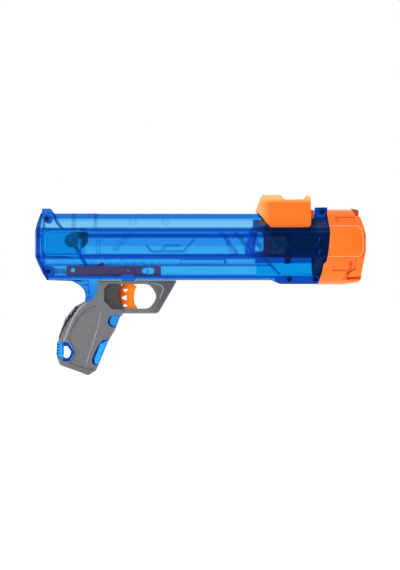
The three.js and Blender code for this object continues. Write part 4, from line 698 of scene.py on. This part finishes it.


# Power bands. Each is one flat latex loop round two upright pins, its two strands lying close
# together between them.
def woven(name, points, material, close_rows=False, close_columns=False):
    """A smooth surface through a grid of points, where rows that shrink to a point close it."""
    join_distance, sharp_angle = 1e-6, math.radians(40)
    rows, columns = points.shape[:2]
    index = np.arange(rows * columns).reshape(rows, columns)
    if close_rows:
        index = np.vstack([index, index[:1]])
    if close_columns:
        index = np.hstack([index, index[:, :1]])
    quads = np.stack([index[:-1, :-1], index[:-1, 1:], index[1:, 1:], index[1:, :-1]], axis=-1)
    mesh = bpy.data.meshes.new(name)
    mesh.from_pydata(points.reshape(-1, 3).tolist(), [], quads.reshape(-1, 4).tolist())
    work = bmesh.new()
    work.from_mesh(mesh)
    bmesh.ops.remove_doubles(work, verts=work.verts, dist=join_distance)
    bmesh.ops.recalc_face_normals(work, faces=work.faces)
    work.to_mesh(mesh)
    work.free()
    mesh.shade_smooth()
    mesh.set_sharp_from_angle(angle=sharp_angle)
    mesh.materials.append(material)
    piece = bpy.data.objects.new(name, mesh)
    bpy.context.scene.collection.objects.link(piece)
    return piece


def rounded_section(width, height, radius, steps=4):
    """The outline of a bar's section, as rows of (a, b): four quarter circles at the corners of
    a width by height box, a = +-(width / 2 - radius) + radius cos t, and b the same with sin t."""
    angle = np.linspace(0, np.pi / 2, steps)
    quarter = np.arange(4)[:, None] * np.pi / 2 + angle[None, :]
    sign_a = np.array([1, -1, -1, 1])[:, None]
    sign_b = np.array([1, 1, -1, -1])[:, None]
    a = sign_a * (width / 2 - radius) + radius * np.cos(quarter)
    b = sign_b * (height / 2 - radius) + radius * np.sin(quarter)
    return np.stack([a.ravel(), b.ravel()], axis=1)


def band_loop(name, anchor, catch, height, material):
    """A closed path round both pins swept with a rounded section. With s from 0 to 1 along a
    strand, the half gap is waist + (eye - waist) (1 - smooth(distance to the nearest pin / fall)),
    and round a pin the path is a half circle of radius eye."""
    thick, eye, waist, fall, corner = 0.0013, 0.0024, 0.00075, 0.009, 0.0004
    turn = np.linspace(-np.pi / 2, np.pi / 2, 15)
    run = np.linspace(0, 1, 42)[1:-1]
    span = anchor.x - catch.x
    near = np.clip(np.minimum(run, 1 - run) * span / fall, 0, 1)
    gap = waist + (eye - waist) * (1 - near * near * (3 - 2 * near))
    front = np.stack([anchor.x + eye * np.cos(turn), anchor.y + eye * np.sin(turn)], axis=1)
    back = np.stack([catch.x - eye * np.cos(turn), catch.y - eye * np.sin(turn)], axis=1)
    upper = np.stack([anchor.x - run * span, anchor.y + gap], axis=1)
    lower = np.stack([catch.x + run * span, anchor.y - gap], axis=1)
    path = np.vstack([front, upper, back, lower])
    along = np.roll(path, -1, axis=0) - np.roll(path, 1, axis=0)
    along /= np.linalg.norm(along, axis=1)[:, None]
    outward = np.stack([along[:, 1], -along[:, 0]], axis=1)
    section = rounded_section(thick, height, corner)
    flat = path[:, None, :] + outward[:, None, :] * section[None, :, 0, None]
    upright = np.broadcast_to(anchor.z + section[None, :, 1], flat.shape[:2])
    points = np.concatenate([flat, upright[:, :, None]], axis=2)
    return woven(name, points, material, close_rows=True, close_columns=True)


latex = filled_plastic(
    "latex", (0.014, 0.013, 0.013, 1), roughness=0.55, grain_size=0.0006, grain_depth=0.00003,
    glow=0.1,
)
for side in ("right", "left"):
    anchor_low, anchor_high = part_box(f"anchor_pin_{side}")
    catch_low, catch_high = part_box(f"pusher_pin_{side}")
    band_low, band_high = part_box(f"power_band_{side}")
    anchor = (anchor_low + anchor_high) / 2
    catch = (catch_low + catch_high) / 2
    anchor.z = (band_low.z + band_high.z) / 2
    band = band_loop(f"latex_band_{side}", anchor, catch, band_high.z - band_low.z, latex)
    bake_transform(band)
    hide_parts(f"power_band_{side}")


# Rubber stops. A ribbed pad on the pusher's face, and a block at the front of each side channel.
rubber = filled_plastic(
    "black_rubber", (0.012, 0.012, 0.014, 1), roughness=0.7, grain_size=0.0003,
    grain_depth=0.00002, glow=0.1,
)


def ribbed_pad(name, material):
    """The face of the pad: a disc of radius R cut flat at top and bottom, |z| < H, whose front
    stands proud by rib (1 + cos(2 pi r / pitch)) / 2, closed by its rim and its back."""
    low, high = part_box("pusher_pad")
    centre = (low + high) / 2
    radius, flat = (high.y - low.y) / 2, (high.z - low.z) / 2
    rib, pitch, corner, least_sine = 0.0005, 0.0042, 0.0004, 1e-6
    angle = np.linspace(0, 2 * np.pi, 121)[:-1]
    edge = np.minimum(radius, flat / np.maximum(np.abs(np.sin(angle)), least_sine))
    share = np.linspace(0, 1, 61)
    spread = share[:, None] * (edge[None, :] - corner)
    front = high.x - rib + rib * (1 + np.cos(2 * np.pi * share[:, None] * radius / pitch)) / 2
    front = np.broadcast_to(front, spread.shape)
    wall_x = np.array([high.x - corner, low.x + corner, low.x, low.x])
    wall_spread = np.stack([edge, edge, edge - corner, np.zeros_like(edge)])
    x = np.vstack([front, np.broadcast_to(wall_x[:, None], wall_spread.shape)])
    r = np.vstack([spread, wall_spread])
    points = np.stack([x, centre.y + r * np.cos(angle), centre.z + r * np.sin(angle)], axis=2)
    return woven(name, points, material, close_columns=True)


pad = ribbed_pad("ribbed_pad", rubber)
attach(pad, "pusher")
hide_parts("pusher_pad")
for side in ("right", "left"):
    place_copy(f"front_bumper_{side}", f"bumper_{side}", rubber, "housing", edge=0.0006)


# Springs and pins. The trigger's return spring is pressed between the rear boss and the trigger
# bar, and the sear's spring sits round its pin. The springs and the six pins are bright steel.
def coil(name, start, end, across, radius, turns, wire, material):
    """A round wire on a helix: the middle of the wire is start + t (end - start) + radius (across
    cos a + side sin a), where a = 2 pi turns u, and t = u - ease sin(2 pi u) / (2 pi) lays the
    turns closer together at both ends."""
    steps_a_turn, ease = 24, 0.35
    axis = end - start
    length = np.linalg.norm(axis)
    axis = axis / length
    side = np.cross(axis, across)
    u = np.linspace(0, 1, int(turns * steps_a_turn) + 1)
    t = u - np.sin(2 * np.pi * u) / (2 * np.pi) * ease
    angle = 2 * np.pi * turns * u
    out = across[None, :] * np.cos(angle)[:, None] + side[None, :] * np.sin(angle)[:, None]
    path = start + axis[None, :] * (t * length)[:, None] + radius * out
    along = np.gradient(path, axis=0)
    along /= np.linalg.norm(along, axis=1)[:, None]
    over = np.cross(along, out)
    ring = np.linspace(0, 2 * np.pi, 13)[:-1]
    points = path[:, None, :] + wire * (
        out[:, None, :] * np.cos(ring)[None, :, None] + over[:, None, :] * np.sin(ring)[None, :, None]
    )
    caps = np.repeat(path[[0, -1]][:, None, :], len(ring), axis=1)
    first = path[0] + points[1] - path[1]
    last = path[-1] + points[-2] - path[-2]
    points = np.concatenate([caps[:1], first[None], points[1:-1], last[None], caps[1:]])
    return woven(name, points, material, close_columns=True)


def bare_metal(name, colour, roughness):
    """Steel with a fine grain."""
    material = bpy.data.materials.new(name)
    material.use_nodes = True
    shader = material.node_tree.nodes["Principled BSDF"]
    shader.inputs["Base Color"].default_value = colour
    shader.inputs["Metallic"].default_value = 1.0
    grain_size, grain_depth = 0.0003, 0.000006
    skin(material.node_tree, shader, grain_size, grain_depth, roughness, drift=0.1)
    return material


steel = bare_metal("zinc_steel", (0.42, 0.43, 0.45, 1), roughness=0.32)
wire_radius = 0.0005
spring_low, spring_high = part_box("trigger_spring")
spring_middle = (spring_low + spring_high) / 2
spring_start = np.array([spring_low.x + wire_radius, spring_middle.y, spring_middle.z])
spring_end = np.array([spring_high.x - wire_radius, spring_middle.y, spring_middle.z])
spring_radius = (spring_high.y - spring_low.y) / 2 - wire_radius
spring = coil(
    "return_spring", spring_start, spring_end, np.array([0.0, 1.0, 0.0]), spring_radius,
    turns=7, wire=wire_radius, material=steel,
)
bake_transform(spring)
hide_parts("trigger_spring")

torsion_low, torsion_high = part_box("sear_spring")
torsion_middle = (torsion_low + torsion_high) / 2
torsion_start = np.array([torsion_middle.x, torsion_low.y + wire_radius, torsion_middle.z])
torsion_end = np.array([torsion_middle.x, torsion_high.y - wire_radius, torsion_middle.z])
torsion_radius = (torsion_high.x - torsion_low.x) / 2 - wire_radius
torsion = coil(
    "torsion_spring", torsion_start, torsion_end, np.array([1.0, 0.0, 0.0]), torsion_radius,
    turns=4, wire=wire_radius * 0.9, material=steel,
)
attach(torsion, "housing")
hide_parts("sear_spring")

for node, body in (
    ("anchor_pin_right", "housing"), ("anchor_pin_left", "housing"), ("sear_pin", "housing"),
    ("pusher_pin_right", "pusher"), ("pusher_pin_left", "pusher"), ("trigger_pin", "trigger"),
):
    place_copy(node, f"{node}_rod", steel, body)


# Screws. Blackened pan head screws with a cross recess: five deep in the shells, two through the
# grip and two up through the carriage into the handle.
black_steel = bare_metal("black_steel", (0.02, 0.021, 0.03, 1), roughness=0.38)


def cross_screw(name, node, outward, body):
    """One surface turned about the screw's axis from its tip to its head's middle. The head's top
    is h(r) = height - dome (r / R)^2, less the recess depth where |r cos t| or |r sin t| is below
    half the slot's width and r is below the recess's radius."""
    low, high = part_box(node)
    outward = np.array(outward, dtype=float)
    low, high = np.array(low), np.array(high)
    lengthwise = np.abs(outward) > 0.5
    length = float((high - low)[lengthwise][0])
    head = float((high - low)[~lengthwise].max()) / 2
    shank, head_height, dome, tip = 0.0014, 0.0021, 0.0005, 0.0008
    recess, slot, reach = 0.0011, 0.0009, 0.0017
    blunt_share, bevel_share, top_share = 0.4, 0.96, 0.94
    lower_bevel, upper_bevel, lip = 0.0002, 0.0004, 0.0001
    middle_line = (low + high) / 2
    base = middle_line - outward * length / 2
    side = np.roll(np.abs(outward), 1)
    other = np.cross(outward, side)
    seat = length - head_height
    rows = [
        (0, 0), (0, shank * blunt_share), (tip, shank), (seat, shank), (seat, head * bevel_share),
        (seat + lower_bevel, head), (length - dome - upper_bevel, head),
        (length - dome - lip, head * bevel_share),
    ]
    top = np.linspace(top_share, 0, 22) * head
    axial = np.concatenate([[row[0] for row in rows], length - dome * (top / head) ** 2])
    radial = np.concatenate([[row[1] for row in rows], top])
    angle = np.linspace(0, 2 * np.pi, 65)[:-1]
    a = radial[:, None] * np.cos(angle)[None, :]
    b = radial[:, None] * np.sin(angle)[None, :]
    inside = np.minimum(np.abs(a), np.abs(b)) < slot / 2
    inside &= (radial[:, None] < reach) & (np.arange(len(radial))[:, None] >= len(rows))
    height = axial[:, None] - recess * inside
    points = base + height[:, :, None] * outward + a[:, :, None] * side + b[:, :, None] * other
    screw = woven(name, points, black_steel, close_columns=True)
    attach(screw, body)
    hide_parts(node)


for node in ("rear_top", "rear_bottom", "front_rear", "front_mid", "front_top"):
    cross_screw(f"screw_{node}", f"shell_screw_{node}", (0, -1, 0), "housing")
for node in ("upper", "lower"):
    cross_screw(f"cover_screw_{node}", f"grip_screw_{node}", (0, 1, 0), "housing")
for node in ("rear", "front"):
    cross_screw(f"saddle_screw_{node}", f"handle_screw_{node}", (0, 0, -1), "handle")


# Grip covers and butt cap. Grey plastic with a fine spark texture, in two halves over the blue core,
# screwed through the grip, with a cap that closes the heel. The grey carries painted highlights along
# its edges, the strap's ridge and the panel's front edge, and painted shade in its recesses, in the
# strap's slots, in the pocket behind the trigger and along the panel's inset step. The dark line at
# the butt cap is its seam.
def pocket_shade():
    """1 on the walls behind the trigger and 0 elsewhere: a box whose width leaves out the covers'
    outer faces."""
    group, point, made = mask_group("pocket_shade")
    parts = split(group, point)
    half_width = 0.0096
    pocket_rear, pocket_front = rear + 0.0830, rear + 0.1100
    pocket_floor, pocket_roof = bore - 0.0800, bore - 0.0460
    sides = (
        (parts["X"], pocket_rear, pocket_front), (parts["Y"], -half_width, half_width),
        (parts["Z"], pocket_floor, pocket_roof),
    )
    group.links.new(soft_box(group, sides, soft=0.0004), made.inputs["Mask"])
    return group


# Painted shade: near-black strokes in the back strap's slots.
strap_slot_shade = drawn_lines("strap_slot_shade", tuple(
    (0.0030, start, end) for start, end in (
        ((0.0508, -0.0749), (0.0481, -0.0804)), ((0.0463, -0.0804), (0.0440, -0.0868)),
        ((0.0422, -0.0854), (0.0399, -0.0913)), ((0.0381, -0.0918), (0.0358, -0.0981)),
        ((0.0340, -0.0998), (0.0312, -0.1059)), ((0.0304, -0.1076), (0.0285, -0.1122)),
    )
))
# Painted highlight: a pale line down the front edge of the inset panel.
panel_edge_highlight = drawn_lines("panel_edge_highlight", (
    (0.0012, (0.0800, -0.0818), (0.0756, -0.1029), (0.0616, -0.1463)),
))
# Painted shade along the inset panel's step, and the dark seam between the covers and the butt cap.
panel_step_shade_and_seam = drawn_lines("panel_step_shade_and_seam", (
    (0.0011, (0.0736, -0.0732), (0.0686, -0.0750), (0.0600, -0.0800), (0.0528, -0.0872),
     (0.0471, -0.0972), (0.0428, -0.1058), (0.0407, -0.1144), (0.0450, -0.1215),
     (0.0486, -0.1301), (0.0464, -0.1373), (0.0432, -0.1430)),
    (0.0010, (0.0399, -0.1430), (0.0514, -0.1473), (0.0628, -0.1509), (0.0714, -0.1523)),
))
# Painted highlight: a pale streak along the back strap's ridge.
strap_ridge_highlight = drawn_lines("strap_ridge_highlight", (
    (0.0026, (0.0620, -0.0694), (0.0521, -0.0781), (0.0453, -0.0893), (0.0384, -0.1066),
     (0.0347, -0.1153)),
))
guard_shade, guard_dark = rear + 0.1380, rear + 0.1560
grey = filled_plastic(
    "grey_moulding", (0.135, 0.137, 0.14, 1), roughness=0.5, grain_size=0.0012,
    grain_depth=0.00016, gloss=0.3,
    edge_highlight=(0.26, 0.26, 0.27, 1), hollow_shade=(0.03, 0.03, 0.033, 1), reach=0.006,
    fades=(("X", guard_shade, guard_dark, (0.072, 0.073, 0.08, 1)),),
    patches=(
        (pocket_shade(), (0.045, 0.046, 0.045, 1)), (strap_slot_shade, (0.008, 0.009, 0.012, 1)),
        (panel_edge_highlight, (0.28, 0.28, 0.29, 1)), (strap_ridge_highlight, (0.27, 0.275, 0.28, 1)),
        (panel_step_shade_and_seam, (0.04, 0.04, 0.045, 1)),
    ),
)
for side in ("right", "left"):
    place_copy(f"grip_cover_{side}", f"grip_half_{side}", grey, "housing", edge=0.0004)
place_copy("butt_cap", "heel_cap", grey, "housing", edge=0.0005)


def bead(name, line, radius, material):
    """A round bead along a line of points, smoothed by rounds of averaging and thinned to nothing
    at its ends: the wire's radius is radius sqrt(sin(pi u))."""
    smoothing_rounds = 12
    line = np.array(line)
    u = np.linspace(0, 1, 61)
    knots = np.linspace(0, 1, len(line))
    path = np.stack([np.interp(u, knots, line[:, k]) for k in range(3)], axis=1)
    for _ in range(smoothing_rounds):
        path[1:-1] = (path[:-2] + 2 * path[1:-1] + path[2:]) / 4
    along = np.gradient(path, axis=0)
    along /= np.linalg.norm(along, axis=1)[:, None]
    over = np.array([0.0, 1.0, 0.0])
    side = np.cross(along, over)
    ring = np.linspace(0, 2 * np.pi, 11)[:-1]
    size = radius * np.sqrt(np.sin(np.pi * u).clip(0, 1))
    points = path[:, None, :] + size[:, None, None] * (
        side[:, None, :] * np.cos(ring)[None, :, None] + over * np.sin(ring)[None, :, None]
    )
    return woven(name, points, material, close_columns=True)


# Painted highlight: the crease bead is coloured a paler grey than the covers, for the light its ridge
# catches.
crease_highlight_grey = filled_plastic(
    "crease_highlight_moulding", (0.36, 0.36, 0.37, 1), roughness=0.5, grain_size=0.0007,
    grain_depth=0.00004, gloss=0.3,
)
crease_line = (
    (0.1440, -0.0456), (0.1510, -0.0466), (0.1558, -0.0490), (0.1572, -0.0525),
    (0.1558, -0.0570), (0.1538, -0.0615), (0.1530, -0.0655),
)
guard_face, crease_radius = 0.0110, 0.0006
for side, sign in (("right", -1), ("left", 1)):
    crease = bead(
        f"guard_crease_{side}",
        [(rear + x, sign * guard_face, bore + z) for x, z in crease_line],
        crease_radius, crease_highlight_grey,
    )
    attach(crease, "housing")


# Trigger. A thick orange block with three triangular windows that slides in the guard, redder
# towards the rear, where it stands in the shade of the grip. Its stem is blue where it goes
# through the floor, and red beside the bar.
trigger_shade, trigger_dark = rear + 0.1160, rear + 0.1030
stem_bottom, bar_bottom = bore - 0.045, bore - 0.0358
trigger_orange = filled_plastic(
    "trigger_moulding", (1.0, 0.21, 0.003, 1), roughness=0.4, gloss=0.12,
    fades=(
        ("X", trigger_shade, trigger_dark, (0.3, 0.015, 0.001, 1)),
        ("Z", stem_bottom, stem_bottom + 0.003, (0.25, 0.62, 0.95, 1)),
        ("Z", bar_bottom, bar_bottom + 0.0012, (0.95, 0.08, 0.09, 1)),
    ),
)
place_copy("trigger", "trigger_block", trigger_orange, "trigger", edge=0.0005)
